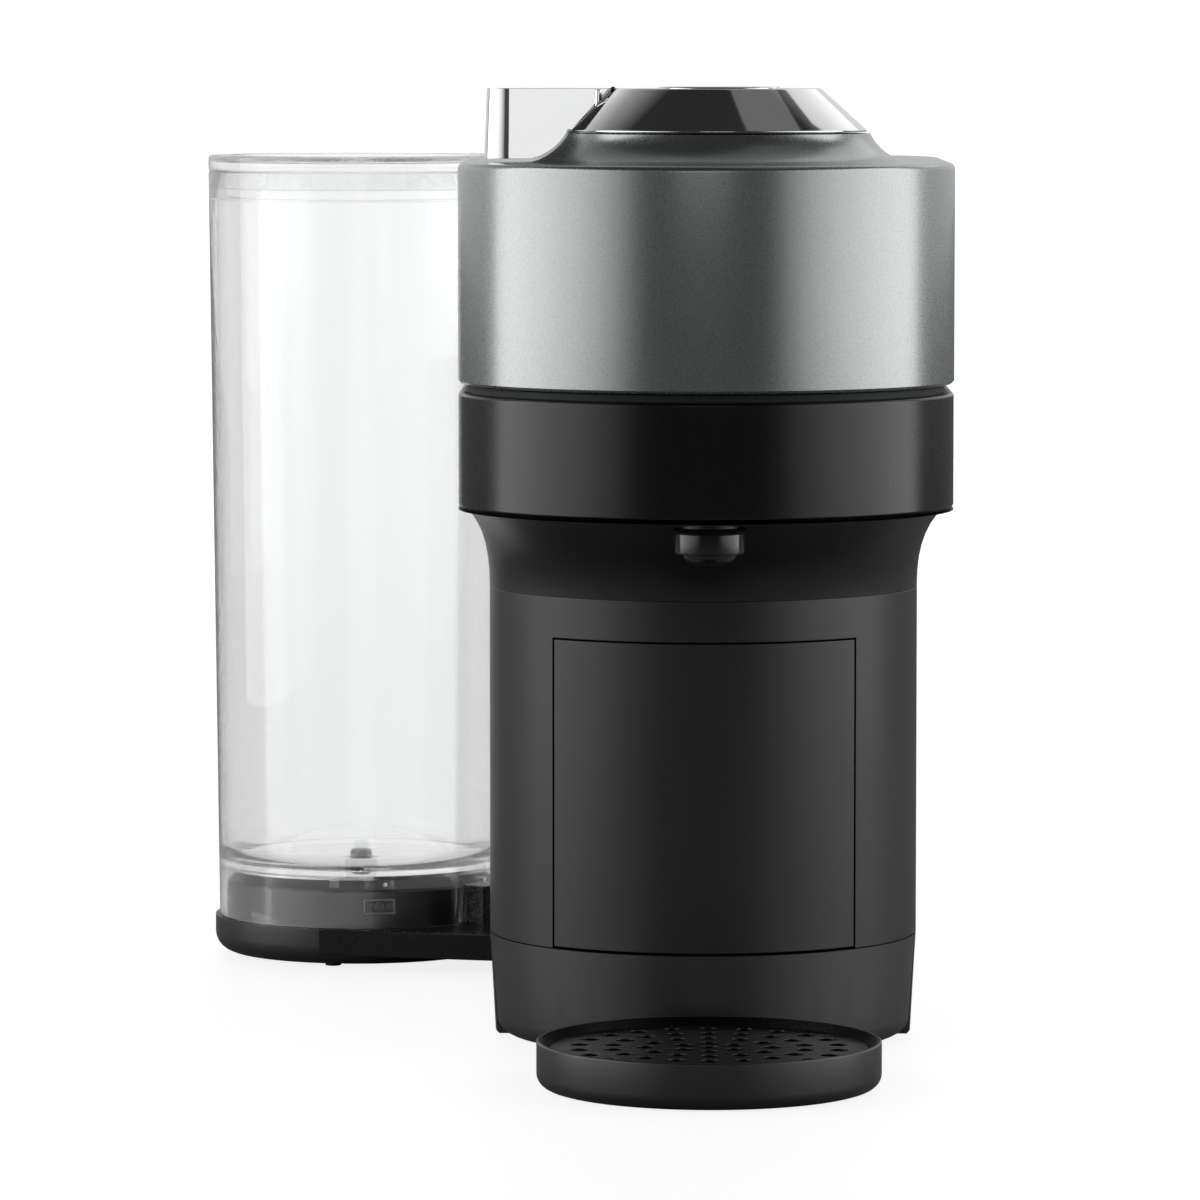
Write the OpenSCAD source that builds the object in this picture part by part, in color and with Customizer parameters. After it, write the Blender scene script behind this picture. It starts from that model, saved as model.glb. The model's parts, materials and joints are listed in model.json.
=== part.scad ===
// Pod coffee machine with a lifting head, a spinning capsule chamber and a swivelling water tank.
// X runs to the right, Y to the rear and Z up. The origin is on the counter, under the column's centre.

/* [Body] */
// Radius of the column's rounded front and rear, half of its width
body_r = 62.5; // [60:0.5:65]
// Distance between the centres of the column's front and rear walls
body_len = 106; // [100:1:116]
// Wall of the moulded covers
wall = 2.5; // [2:0.1:3]
// Height of the seam between the base cover and the column
base_h = 29.5; // [28:0.5:32]
// How much narrower the base is near its foot than the column
base_draft = 1.6; // [1:0.1:3]
// Rounding of the base's lower front edge
base_round = 5; // [3:0.5:6]
// Height at which the column starts to flare into the head
flare_z = 131; // [128:1:134]

/* [Head] */
// Radius of the head
head_r = 68.9; // [67:0.1:71]
// Distance from the column's centre forward to the head's centre
head_reach = 99; // [96:1:102]
// Height of the underside of the head's ring
ring_z = 160; // [158:0.5:162]
// Height of the head's ring
ring_h = 32.5; // [32:0.5:34]
// Gap between the ring and the lifting lid
lid_gap = 2.5; // [2.4:0.1:3]
// Height of the lid's side wall
lid_h = 61; // [60:0.5:64]
// Rounding of the lid's upper edge
lid_round = 1.6; // [0.5:0.1:2.5]
// Radius of the raised shoulder at its foot
shoulder_r = 54.3; // [52:0.1:56]
// Radius of the raised shoulder at its top
shoulder_top_r = 42; // [41:0.1:43]
// Height of the raised shoulder
shoulder_h = 8.1; // [7:0.1:9]

/* [Lock] */
// Sideways offset of the lock's axis from the head's centre
lock_x = 3.5; // [0:0.5:4]
// Radius of the lock cone at its foot
cone_r = 41.1; // [40:0.1:41.5]
// Radius of the lock cone at its top
cone_top_r = 28.2; // [26:0.1:30]
// Height of the lock cone
cone_h = 12; // [11:0.5:14]
// Distance from the lock's axis to the lever's tip
lever_reach = 65.3; // [60:0.1:66]
// Thickness of the lever
lever_t = 16; // [12:0.5:18]
// Radius of the brew button
button_r = 17.1; // [15:0.1:18]
// Height by which the button stands above the cone
button_rise = 0.5; // [0:0.1:1]
// Travel of the brew button
button_travel = 1.5; // [1:0.1:2]

/* [Brewing] */
// Inner radius of the capsule holder
capsule_r = 29.5; // [28:0.1:30]
// Outer radius of the capsule holder's running collar
collar_r = 36; // [35:0.1:36.5]
// Radius of the piercing head
injector_r = 26.9; // [25:0.1:27]
// Radius of the spinning injector shaft
shaft_r = 5; // [4:0.1:5.5]
// Radius of the injector's belt pulley
rotor_pulley_r = 20; // [17:0.5:22]
// Radius of the motor's belt pulley
motor_pulley_r = 8; // [6:0.5:10]
// Radius of the brew motor
motor_r = 17; // [15:0.5:19]
// Outer radius of the coffee nozzle
nozzle_r = 9.75; // [9:0.05:10.5]
// Distance of the nozzle in front of the head's centre
nozzle_forward = 10; // [8:0.5:12]
// Sideways offset of the nozzle and the drip tray
spout_x = 0.95; // [0:0.05:2]
// Height of the nozzle's lip above the counter
nozzle_z = 148; // [146:0.5:149]

/* [Drip tray and bin] */
// Outer radius of the drip tray
tray_r = 48; // [46:0.5:49]
// Height of the drip tray
tray_h = 13.1; // [12.5:0.1:15]
// Distance of the tray's centre in front of the head's centre
tray_forward = 15; // [14:0.5:17]
// Radius of the grid's holes
grid_hole_r = 2.6; // [2:0.1:2.8]
// Distance between the grid's holes
grid_pitch = 9.4; // [8.8:0.1:10]
// Half of the width of the used capsule bin's front
bin_half = 43; // [40:0.5:44]
// Height of the bin front's upper edge
bin_top = 118.8; // [112:0.2:120]

/* [Water tank] */
// Outer radius of the tank at its rim
tank_rim_r = 47.8; // [47:0.1:49]
// How much narrower the tank is just above its base
tank_taper = 2.5; // [1.5:0.1:4]
// Height of the tank's floor
tank_floor_z = 27.5; // [27:0.5:29]
// Height of the tank's rim
tank_top_z = 249; // [230:1:255]
// Wall of the tank
tank_wall = 2.2; // [1.8:0.1:2.6]
// Height of the tank's lid above the rim
tank_lid_h = 5; // [4:0.5:7]
// Distance from the swivel to the tank's centre
swivel_reach = 131.5; // [129:0.5:140]
// Angle of the tank's arm from the X axis
swivel_angle = 145.2; // [130:0.1:160]
// Radius of the swivel post
post_r = 14; // [12:0.5:15]

/* [Hidden] */
$fn = 96;

// Clearances
seam = 0.2; // between two covers
seat = 0.1; // between a piece and the seat that holds it
slip = 0.4; // round pieces that slide or lift past each other
run = 0.05; // a shaft in its bearing
eps = 1; // how far a cut runs past a face
big = 400; // larger than the machine

// Heights of the head
deck_z = ring_z + ring_h;
lid_z = deck_z + lid_gap;
lid_top = lid_z + lid_h;
shoulder_z = lid_top + shoulder_h;
cone_z = shoulder_z + slip;
cone_top = cone_z + cone_h;
head_y = -head_reach;
ring_wall = 2.8;
deck_t = 2.5;

// Base cover
base_side_r = body_r - base_draft;
base_foot_r = base_side_r - base_round;
base_floor = 3;
base_cavity_r = base_side_r - 3.4;
skirt_y = -9; // behind this line the base has a square lower edge
relief_y = body_len - 30; // behind this line the underside is raised over the tank's arm
relief_z = 11;
rear_floor = relief_z + wall;
plate_t = 3; // chassis floor
plate_top = rear_floor + plate_t;
wall_y = 34; // front face of the chassis wall

// Hinge of the lid
lid_shell_r = head_r - wall;
hinge_y = head_r - 5.4;
hinge_z = lid_z + 5;
lug_half = 16.4;
ear_t = 5;
ear_gap = 0.4;
notch_half = lug_half + ear_t + 2 * ear_gap;
lug_r = 5.5;
ear_r = 5;
notch_r = lug_r + 0.7;
pin_r = 2;

// Lid's inside
liner_t = 3;
liner_z = lid_z + 1;
liner_top = liner_z + liner_t;
housing_z = liner_top + 5.5;
housing_top = housing_z + 21.5;
bearing_r = 8;
pulley_z = housing_top + 8;
pulley_h = 8;
belt_t = 1.5;
motor_y = -30;
shoulder_angle = 2 * atan(shoulder_h / (shoulder_r - shoulder_top_r));
shoulder_arc = (shoulder_r - shoulder_top_r) / sin(shoulder_angle);
hub_hole_r = 30.4;
hub_cavity_r = 38;
button_floor = cone_z + 2;
ring_light_w = 2.9;

// Capsule chamber
collector_r = 47;
collector_z = ring_z + 2;
holder_z = collector_z + 4.5;
bearing_top = deck_z - 5.5;
bearing_h = 6;
nozzle_y = head_y - nozzle_forward;
tray_y = head_y - tray_forward;
grid_top = tray_h - 2.2;
grid_inset = 3.4;

// Tank
tank_r = tank_rim_r - tank_taper;
plinth_r = tank_r - tank_wall - 0.5;
dish_r = tank_r + 1.2;
dish_top = 12.3;
plinth_top = tank_floor_z - 3.2;
arm_z = 1.5;
dish_z = 0.8;
arm_top = 9;
slab_z = 4.2;
flange_r = post_r + 4;
flange_h = 2.6;
hub_r = 26;
socket_r = 10;
latch_half = 5;
neck_r = 5.9;
stem_r = 2.6;
peg_r = 2.5;

// Where the feet and the screws are
feet = [[-28, -38], [28, -38], [-46, 6], [46, 6]];
screws = [[-42, 50], [42, 50], [-24, 66], [24, 66]];
foot_r = 8;
foot_h = 1.5;

black = "#1c1d1e";
dark = "#2d2e30";
gray = "#8d908d";
chrome = "#d8dadb";
steel = "#b4b6b8";
rubber = "#141414";
clear = [0.85, 0.9, 0.92, 0.35];

// Points of an arc about (x, z), for profiles
function arc(x, z, r, a0, a1, n = 5) =
  [for (i = [0:n]) [x + r * cos(a0 + (a1 - a0) * i / n), z + r * sin(a0 + (a1 - a0) * i / n)]];

// Outline with two round ends
module stadium(r, y0, y1) {
  translate([0, y0]) circle(r);
  translate([0, y1]) circle(r);
  translate([-r, y0]) square([2 * r, y1 - y0]);
}

// Upright block with two round ends
module stadium_block(r, y0, y1, z0, z1) {
  translate([0, 0, z0]) linear_extrude(z1 - z0) stadium(r, y0, y1);
}

// Solid of a profile that starts and ends on the axis, carried round two round ends and the sides between
module pill(profile, y0, y1) {
  translate([0, y0, 0]) rotate_extrude() polygon(profile);
  translate([0, y1, 0]) rotate_extrude() polygon(profile);
  translate([0, y1, 0]) rotate([90, 0, 0]) linear_extrude(y1 - y0) {
    polygon(profile);
    mirror([1, 0]) polygon(profile);
  }
}

// Everything between two heights or two Y values, for cuts
module slab_y(y0, y1) translate([-big / 2, y0, -big]) cube([big, y1 - y0, 2 * big]);

// Block given by its two corners
module block(x0, x1, y0, y1, z0, z1) translate([x0, y0, z0]) cube([x1 - x0, y1 - y0, z1 - z0]);

// Upright cylinder given by its axis and its heights
module post(x, y, r, z0, z1) translate([x, y, z0]) cylinder(r = r, h = z1 - z0);

// Ring given by its axis, radii and heights
module ring(x, y, r_out, r_in, z0, z1) {
  difference() {
    post(x, y, r_out, z0, z1);
    post(x, y, r_in, z0 - eps, z1 + eps);
  }
}

// Cylinder along X, centred on X = 0
module across(y, z, r, half) translate([-half, y, z]) rotate([0, 90, 0]) cylinder(r = r, h = 2 * half);

// Round hose or wire along a list of points
function unit(v) = v / norm(v);
function tangent(p, i) = unit(p[min(i + 1, len(p) - 1)] - p[max(i - 1, 0)]);
function ring_points(p, i, r, sides, up) =
  let (t = tangent(p, i), n = unit(cross(t, up)), b = cross(t, n))
  [for (k = [0:sides - 1]) p[i] + r * (cos(360 * k / sides) * n + sin(360 * k / sides) * b)];
module tube(p, r, sides = 10, up = [1, 0, 0]) {
  n = len(p);
  points = [for (i = [0:n - 1]) each ring_points(p, i, r, sides, up)];
  faces = concat(
    [[for (k = [0:sides - 1]) k]],
    [for (i = [0:n - 2]) for (k = [0:sides - 1])
      [i * sides + k, (i + 1) * sides + k, (i + 1) * sides + (k + 1) % sides, i * sides + (k + 1) % sides]],
    [[for (k = [sides - 1:-1:0]) (n - 1) * sides + k]]
  );
  polyhedron(points, faces);
}
// Smooth curve through four control points
function bezier(a, b, c, d, n = 12) =
  [for (i = [0:n]) let (t = i / n, s = 1 - t) s*s*s*a + 3*s*s*t*b + 3*s*t*t*c + t*t*t*d];

// Lower covers

module base_cover() {
  front = concat(
    [[0, 0]], arc(base_foot_r, base_round, base_round, -90, 0), [[body_r, base_h], [0, base_h]]
  );
  rear = [[0, 0], [base_side_r - 0.6, 0], [base_side_r, 0.6], [body_r, base_h], [0, base_h]];
  color(black)
  difference() {
    union() {
      intersection() {
        rotate_extrude() polygon(front);
        slab_y(-big / 2, skirt_y);
      }
      intersection() {
        pill(rear, 0, body_len);
        slab_y(skirt_y, big);
      }
      tray_tongue();
    }
    difference() {
      stadium_block(base_cavity_r, 0, body_len, base_floor, base_h + eps);
      block(-big, big, relief_y - wall, big, -eps, rear_floor);
      for (p = screws) post(p[0], p[1], 5, 0, rear_floor);
    }
    block(-big, big, relief_y, big, -eps, relief_z);
    post(0, body_len, 6.3, 0, rear_floor + eps);
    for (p = feet) post(p[0], p[1], foot_r + seat, -eps, foot_h);
    for (p = screws) {
      post(p[0], p[1], 1.7, -eps, rear_floor + eps);
      post(p[0], p[1], 3.8, -eps, 2.5);
    }
    gland_hole();
  }
}

// Tongue that holds the drip tray
tongue_half = 18;
tongue_z = 3;
tongue_h = 4;
tongue_in = 4; // how far it reaches into the tray
module tray_tongue() {
  y0 = tray_y + tray_r - tongue_in;
  block(-tongue_half, tongue_half, y0, -base_foot_r - 2, tongue_z, tongue_z + tongue_h);
}

gland_z = 20.5;
gland_r = 5.9;
gland_face = body_len + body_r;
gland_in = body_r - base_cavity_r; // through the base's rear wall
module gland_hole() {
  translate([0, body_len, gland_z]) rotate([-90, 0, 0]) cylinder(r = gland_r + seat, h = big);
}

module cord_gland() {
  color(rubber)
  translate([0, gland_face, gland_z]) rotate([-90, 0, 0])
  difference() {
    union() {
      translate([0, 0, -gland_in]) cylinder(r = gland_r, h = gland_in);
      cylinder(r = 8.5, h = 2.6);
      translate([0, 0, 2.6]) cylinder(r1 = 5.5, r2 = 4.5, h = 7);
    }
    translate([0, 0, -gland_in - eps]) cylinder(r = 3, h = big);
  }
}

module column_shell() {
  color(black)
  difference() {
    stadium_block(body_r, 0, body_len, base_h + seam, flare_z - seam);
    stadium_block(body_r - wall, 0, body_len, 0, big);
    block(-bin_half - slip, bin_half + slip, -big, -20, 0, bin_top + slip);
  }
}

// The flare grows forward as a quarter of an ellipse, and its sides bell out with height
flare_h = ring_z - flare_z;
flare_power = 2.3;
flare_steps = 10;
half_steps = 28;
function flare_r(t) = body_r + (head_r - body_r) * pow(t, flare_power);
function flare_front(t) = -head_reach * (1 - sqrt(max(0, 1 - t * t)));
function flare_outline(r, y, z) = concat(
  [for (k = [0:half_steps]) let (a = 180 + 180 * k / half_steps) [r * cos(a), y + r * sin(a), z]],
  [for (k = [0:half_steps]) let (a = 180 * k / half_steps) [r * cos(a), body_len + r * sin(a), z]]
);
module loft(rings) {
  n = len(rings[0]);
  m = len(rings);
  faces = concat(
    [[for (k = [0:n - 1]) k]],
    [for (i = [0:m - 2]) for (k = [0:n - 1])
      [i * n + k, (i + 1) * n + k, (i + 1) * n + (k + 1) % n, i * n + (k + 1) % n]],
    [[for (k = [n - 1:-1:0]) (m - 1) * n + k]]
  );
  polyhedron([for (r = rings) each r], faces);
}

module head_flare() {
  outer = [for (i = [0:flare_steps]) let (t = sin(90 * i / flare_steps))
    flare_outline(flare_r(t), flare_front(t), flare_z + flare_h * t)];
  inner = concat(
    [flare_outline(body_r - wall, 0, flare_z - eps)],
    [for (i = [0:flare_steps]) let (t = sin(90 * i / flare_steps))
      flare_outline(flare_r(t) - wall, flare_front(t), flare_z + wall + flare_h * t)]
  );
  color(black)
  difference() {
    loft(outer);
    loft(inner);
    post(spout_x, nozzle_y, nozzle_r + 0.3, nozzle_z, big);
  }
}

module head_ring() {
  z0 = ring_z + seam;
  r = head_r - 0.1;
  profile = [
    [0, z0], [r - 1.2, z0], [r, z0 + 1.2], [r, deck_z - 0.6], [r - 0.6, deck_z], [0, deck_z]
  ];
  color(black)
  difference() {
    pill(profile, head_y, body_len);
    stadium_block(r - ring_wall, head_y, body_len, z0 - eps, deck_z - deck_t);
    post(0, head_y, collar_r + 1.5, z0, big);
    intersection() {
      stadium_block(cover_r, 0, body_len, deck_z - cover_t - seat, deck_z + eps);
      slab_y(cover_y, big);
    }
    intersection() {
      stadium_block(cover_r - 3, 0, body_len, z0, deck_z + eps);
      slab_y(cover_y + 3, big);
    }
  }
}

// Cover over the pump and the heater, behind the lid
cover_r = body_r - 4;
cover_y = head_r + 9;
cover_t = 1.5;
vent_n = 7;
vent_step = 7;
module deck_cover() {
  color(dark)
  difference() {
    intersection() {
      stadium_block(cover_r - 0.3, 0, body_len, deck_z - cover_t, deck_z);
      slab_y(cover_y + 0.3, big);
    }
    for (i = [0:vent_n - 1]) {
      y = cover_y + 16 + i * vent_step;
      block(-22, 22, y, y + 2.2, 0, big);
    }
  }
}

// Frame inside the column

module chassis() {
  rail_out = bin_half - 1;
  color(dark)
  difference() {
    union() {
      intersection() {
        stadium_block(base_cavity_r - 0.5, 0, body_len, rear_floor, plate_top);
        slab_y(wall_y, big);
      }
      intersection() {
        stadium_block(body_r - wall - 0.5, 0, body_len, plate_top - eps, ring_z - 2);
        block(-base_cavity_r + 1.5, base_cavity_r - 1.5, wall_y, wall_y + 3, 0, big);
      }
      for (s = [-1, 1]) {
        x0 = s > 0 ? bin_half - 9 : -rail_out;
        block(x0, x0 + 8, -30, wall_y + eps, base_h - 3.5, bin_z - slip);
        block(x0, x0 + 8, -30, -24, base_floor, base_h - 3);
        board_post(s);
      }
    }
    post(0, body_len, 6.3, 0, big);
    for (p = screws) post(p[0], p[1], 1.5, 0, plate_top + eps);
  }
}

board_y = body_len + 22;
board_half = body_r - 18.5;
board_z = 60;
board_top = 150;
module board_post(s) {
  x = s * (board_half - 6);
  block(x - 3, x + 3, board_y - 6, board_y, plate_top - eps, board_top);
}

module control_board() {
  color("#1f6b3a") block(-board_half, board_half, board_y, board_y + 1.6, board_z, board_top);
}

module board_parts() {
  z = board_z + 8;
  y = board_y + 1.6;
  color("#3a3b3d") {
    block(-36, -8, y, y + 18, z, z + 30);
    block(-2, 12, y, y + 14, z, z + 16);
    block(18, 34, y, y + 12, z + 4, z + 24);
    block(-34, -12, y, y + 9, z + 44, z + 58);
    translate([6, y, z + 46]) rotate([-90, 0, 0]) cylinder(r = 8, h = 20);
    translate([26, y, z + 50]) rotate([-90, 0, 0]) cylinder(r = 5, h = 14);
  }
}

pump_x = -30;
pump_y = 52;
pump_z = 46;
pump_r = 15;
pump_len = 58;
module pump() {
  color(steel)
  translate([pump_x, pump_y, pump_z]) rotate([-90, 0, 0]) {
    cylinder(r = pump_r, h = pump_len);
    translate([0, 0, -4]) cylinder(r = 4, h = 4);
    translate([0, 0, pump_len]) cylinder(r = 4, h = 6);
  }
}

module pump_mounts() {
  color(rubber)
  for (y = [pump_y + 6, pump_y + pump_len - 14]) {
    difference() {
      union() {
        translate([pump_x, y, pump_z]) rotate([-90, 0, 0]) cylinder(r = pump_r + 4, h = 8);
        block(pump_x - 12, pump_x + 12, y, y + 8, plate_top, pump_z);
      }
      translate([pump_x, y - eps, pump_z]) rotate([-90, 0, 0]) cylinder(r = pump_r + run, h = 10);
    }
  }
}

heater_x0 = 6;
heater_x1 = 50;
heater_y0 = 48;
heater_y1 = 96;
heater_z0 = 36;
heater_z1 = 128;
module heater() {
  xc = (heater_x0 + heater_x1) / 2;
  yc = (heater_y0 + heater_y1) / 2;
  color(steel) {
    block(heater_x0, heater_x1, heater_y0, heater_y1, heater_z0, heater_z1);
    for (y = [heater_y0 + 4, heater_y1 - 10]) {
      block(heater_x0 + 4, heater_x1 - 4, y, y + 6, plate_top, heater_z0);
    }
    post(xc, yc, 4, heater_z1, heater_z1 + 6);
  }
}

meter_z = 84;
module flow_meter() {
  color("#e4e4e0") {
    post(pump_x, pump_y + 10, 13, meter_z, meter_z + 14);
    block(pump_x - 6, pump_x + 6, wall_y + 3, pump_y, meter_z + 2, meter_z + 10);
  }
}

hose_r = 2.6;
hose_gap = 0.8;
module inlet_hose() {
  z = spigot_top + hose_gap;
  y = pump_y + pump_len + 6 + hose_gap;
  color("#d9dedd")
  tube(bezier([0, body_len, z], [0, body_len, z + 16],
    [pump_x, y + 22, pump_z], [pump_x, y, pump_z]), hose_r);
}

module pump_hose() {
  y0 = pump_y - 4 - hose_gap;
  y1 = pump_y + 1.5;
  color("#d9dedd")
  tube(bezier([pump_x, y0, pump_z], [pump_x, y0 - 7.6, pump_z],
    [pump_x, y1, meter_z - 13], [pump_x, y1, meter_z - hose_gap]), hose_r);
}

module heater_hose() {
  xc = (heater_x0 + heater_x1) / 2;
  yc = (heater_y0 + heater_y1) / 2;
  color("#d9dedd")
  tube(bezier([xc, yc, heater_z1 + 6 + hose_gap], [xc, yc, heater_z1 + 30],
    [26, hinge_y - 12, deck_z - 26], [26, hinge_y - 12, deck_z - deck_t - hose_gap]), hose_r);
}

module rubber_feet() {
  color(rubber) for (p = feet) post(p[0], p[1], foot_r, 0, foot_h);
}

module base_screws() {
  color(steel)
  for (p = screws) difference() {
    union() {
      post(p[0], p[1], 3.6, 0.5, 2.5);
      post(p[0], p[1], 1.5, 2, plate_top);
    }
    block(p[0] - 2.6, p[0] + 2.6, p[1] - 0.5, p[1] + 0.5, 0, 1.3);
  }
}

// Capsule chamber

module coffee_collector() {
  color(dark)
  translate([0, head_y, 0])
  difference() {
    rotate_extrude() polygon([
      [0, collector_z], [collector_r, collector_z], [collector_r, deck_z - deck_t],
      [collector_r - 2, deck_z - deck_t], [collector_r - 2, bearing_top - bearing_h],
      [collar_r + 4, bearing_top - bearing_h], [collar_r + 4, bearing_top - bearing_h - 3],
      [collector_r - 2, bearing_top - bearing_h - 5], [collector_r - 2, collector_z + 2],
      [0, collector_z + 2]
    ]);
    post(spout_x, -nozzle_forward, 4, 0, big);
  }
}

module holder_bearing() {
  color(steel)
  ring(0, head_y, collector_r - 2 - seat, collar_r + run, bearing_top - bearing_h, bearing_top);
}

module capsule_holder() {
  top = deck_z - 0.7;
  inner_z = holder_z + 2;
  color(steel)
  translate([0, head_y, 0]) rotate_extrude() polygon([
    [0, holder_z], [capsule_r - 5.5, holder_z], [collar_r - 3, holder_z + 4.5],
    [collar_r, holder_z + 9.5], [collar_r, bearing_top + 0.3], [collar_r + 2, bearing_top + 0.3],
    [collar_r + 2, bearing_top + 2], [collar_r + 0.9, bearing_top + 2], [collar_r + 0.9, top],
    [capsule_r, top], [capsule_r, inner_z + 9], [capsule_r - 2.5, inner_z + 2], [0, inner_z]
  ]);
}

module nozzle() {
  color(black)
  translate([spout_x, nozzle_y, 0])
  difference() {
    union() {
      post(0, 0, nozzle_r, nozzle_z, collector_z - 1);
      post(0, 0, nozzle_r + 2.7, collector_z - 2, collector_z);
    }
    post(0, 0, nozzle_r - 1.35, 0, collector_z - 4);
    post(0, 0, 4, 0, big);
  }
}

module nozzle_tip() {
  r = nozzle_r - 1.45;
  z0 = nozzle_z - 3;
  color(dark)
  translate([spout_x, nozzle_y, 0]) rotate_extrude() polygon([
    [2.5, z0], [4, z0], [6.6, z0 + 1], [7.7, z0 + 2.6], [r, z0 + 4.5], [r, collector_z - 4],
    [r - 1.6, collector_z - 4], [r - 1.6, z0 + 5], [2.5, z0 + 2]
  ]);
}

// Duct behind the chamber that leads a used capsule down to the bin
module capsule_chute() {
  x = 30;
  foot = bin_top + 4.2;
  mouth = deck_z - 14.5;
  y = head_y + 53;
  color(dark) {
    for (s = [-1, 1]) translate([s * x, 0, 0]) rotate([90, 0, 90])
    translate([0, 0, -1]) linear_extrude(2)
    polygon([[y, mouth], [y, ring_z], [y + 38, foot], [wall_y, foot], [wall_y, foot + 17], [0, ring_z - 5]]);
    translate([-x + 1, 0, 0]) rotate([90, 0, 90]) linear_extrude(2 * x - 2)
    polygon([[y, ring_z + 3], [y, ring_z], [y + 38, foot], [y + 42, foot], [y + 42, foot + 2.2]]);
  }
}

// Drip tray and bin

module drip_tray() {
  ledge = grid_top - 2.4;
  inner_r = tray_r - grid_inset;
  color(black)
  difference() {
    translate([spout_x, tray_y, 0]) rotate_extrude() polygon(concat(
      [[0, 0]], arc(tray_r - 4, 4, 4, -90, 0),
      [[tray_r, tray_h - 0.4], [tray_r - 0.4, tray_h], [tray_r - 1.2, tray_h], [inner_r, grid_top],
      [inner_r, ledge], [inner_r - 1.5, ledge], [inner_r - 1.5, 4.5], [inner_r - 4, 2], [0, 2]]
    ));
    block(-tongue_half - slip, tongue_half + slip, tray_y + tray_r - tongue_in - slip, 0,
      tongue_z - 0.3, tongue_z + tongue_h + 0.3);
  }
}

module drip_grid() {
  z0 = grid_top - 2.3;
  counts = [6, 12, 18, 22];
  color(steel)
  translate([spout_x, tray_y, z0])
  linear_extrude(grid_top - z0)
  difference() {
    circle(tray_r - grid_inset - slip);
    circle(grid_hole_r, $fn = 24);
    for (ring = [0:3], hole = [1:counts[ring]])
      rotate(360 * hole / counts[ring]) translate([0, -grid_pitch * (ring + 0.87)])
        circle(grid_hole_r, $fn = 24);
  }
}

bin_z = base_h + 1;
bin_box_half = bin_half - 3;
bin_rear = 30;
bin_box_top = bin_top - 6.8;
module bin_outline(r, half, y1, z0, z1) {
  intersection() {
    block(-half, half, -big, y1, z0, z1);
    union() {
      post(0, 0, r, 0, big);
      block(-big, big, 0, big, 0, big);
    }
  }
}

module capsule_bin() {
  color(black)
  difference() {
    union() {
      difference() {
        bin_outline(body_r, bin_half, -25, bin_z - 0.2, bin_top);
        post(0, 0, body_r - wall, 0, big);
      }
      bin_outline(body_r - 1, bin_box_half, bin_rear, bin_z, bin_box_top);
    }
    bin_outline(body_r - wall, bin_box_half - 2, bin_rear - 2, bin_z + 2, big);
  }
}

// Hinge and seal of the lid

module hinge_bracket() {
  color(dark)
  difference() {
    union() {
      across(hinge_y, hinge_z, lug_r, lug_half);
      block(-lug_half, lug_half, hinge_y - 5.5, hinge_y + 2.5, deck_z, hinge_z);
    }
    across(hinge_y, hinge_z, pin_r + run, lug_half + eps);
  }
}

module hinge_pin() {
  color(steel) across(hinge_y, hinge_z, pin_r, lug_half + ear_gap + ear_t);
}

module lid_gasket() {
  r = head_r - ring_wall;
  color(rubber)
  difference() {
    stadium_block(r, head_y, 0, deck_z, deck_z + lid_gap - 0.3);
    stadium_block(r - 2.5, head_y, 0, deck_z - eps, big);
    slab_y(44, big);
  }
}

module lid_switch() {
  z = deck_z - deck_t;
  color("#3a3b3d") {
    block(30, 50, 20, 26.5, z - 11, z);
    block(35, 37, 22, 24.5, z - 13, z - 11);
  }
}

// Swivel of the water tank

spigot_top = plate_top + 3.5;
module swivel_post() {
  color(dark)
  difference() {
    union() {
      post(0, body_len, flange_r, 0, flange_h);
      post(0, body_len, post_r, 0, relief_z);
      post(0, body_len, 6, 0, spigot_top);
    }
    post(0, body_len, 2.6, 5, big);
    ring(0, body_len, 9 + run, 6.8, relief_z - 1.6, relief_z + eps);
  }
}

module post_seal() {
  color(rubber) ring(0, body_len, 9, 6.9, relief_z - 1.6, relief_z);
}

// Lid

// Solid below the raised shoulder, or the same with room around it
module shoulder(gap, top) {
  translate([lock_x, head_y, 0]) rotate_extrude() polygon(concat(
    [[0, lid_z + 10], [head_r - lock_x - 2, lid_z + 10], [head_r - lock_x - 2, lid_top + gap]],
    arc(shoulder_r, lid_top + shoulder_arc, shoulder_arc - gap, -90, -90 - shoulder_angle, 8),
    [[shoulder_top_r, top], [0, top]]
  ));
}

module head_shell() {
  profile = concat(
    [[0, lid_z], [head_r - 0.8, lid_z], [head_r, lid_z + 0.8]],
    arc(head_r - lid_round, lid_top - lid_round, lid_round, 0, 90), [[0, lid_top]]
  );
  color(gray)
  difference() {
    union() {
      pill(profile, head_y, 0);
      shoulder(0, shoulder_z);
    }
    stadium_block(lid_shell_r, head_y, 0, 0, lid_top - wall);
    post(lock_x, head_y, hub_cavity_r, lid_z, shoulder_z - wall);
    post(lock_x, head_y, hub_hole_r, lid_z, big);
    across(hinge_y, hinge_z, notch_r, notch_half);
    block(-notch_half, notch_half, hinge_y - 8, big, 0, hinge_z);
  }
}

module head_liner() {
  r = lid_shell_r - 0.3;
  color(dark)
  difference() {
    union() {
      stadium_block(r, head_y, 0, liner_z, liner_top);
      for (s = [-1, 1]) translate([s * (lug_half + ear_gap + ear_t / 2), 0, 0]) {
        across(hinge_y, hinge_z, ear_r, ear_t / 2);
        block(-ear_t / 2, ear_t / 2, hinge_y - 8, hinge_y, liner_z, hinge_z + 2);
      }
    }
    post(0, head_y, injector_r + 1.1, 0, big);
    block(-lug_half - ear_gap, lug_half + ear_gap, hinge_y - 9, big, 0, big);
    across(hinge_y, hinge_z, pin_r + run, big);
  }
}

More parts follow.
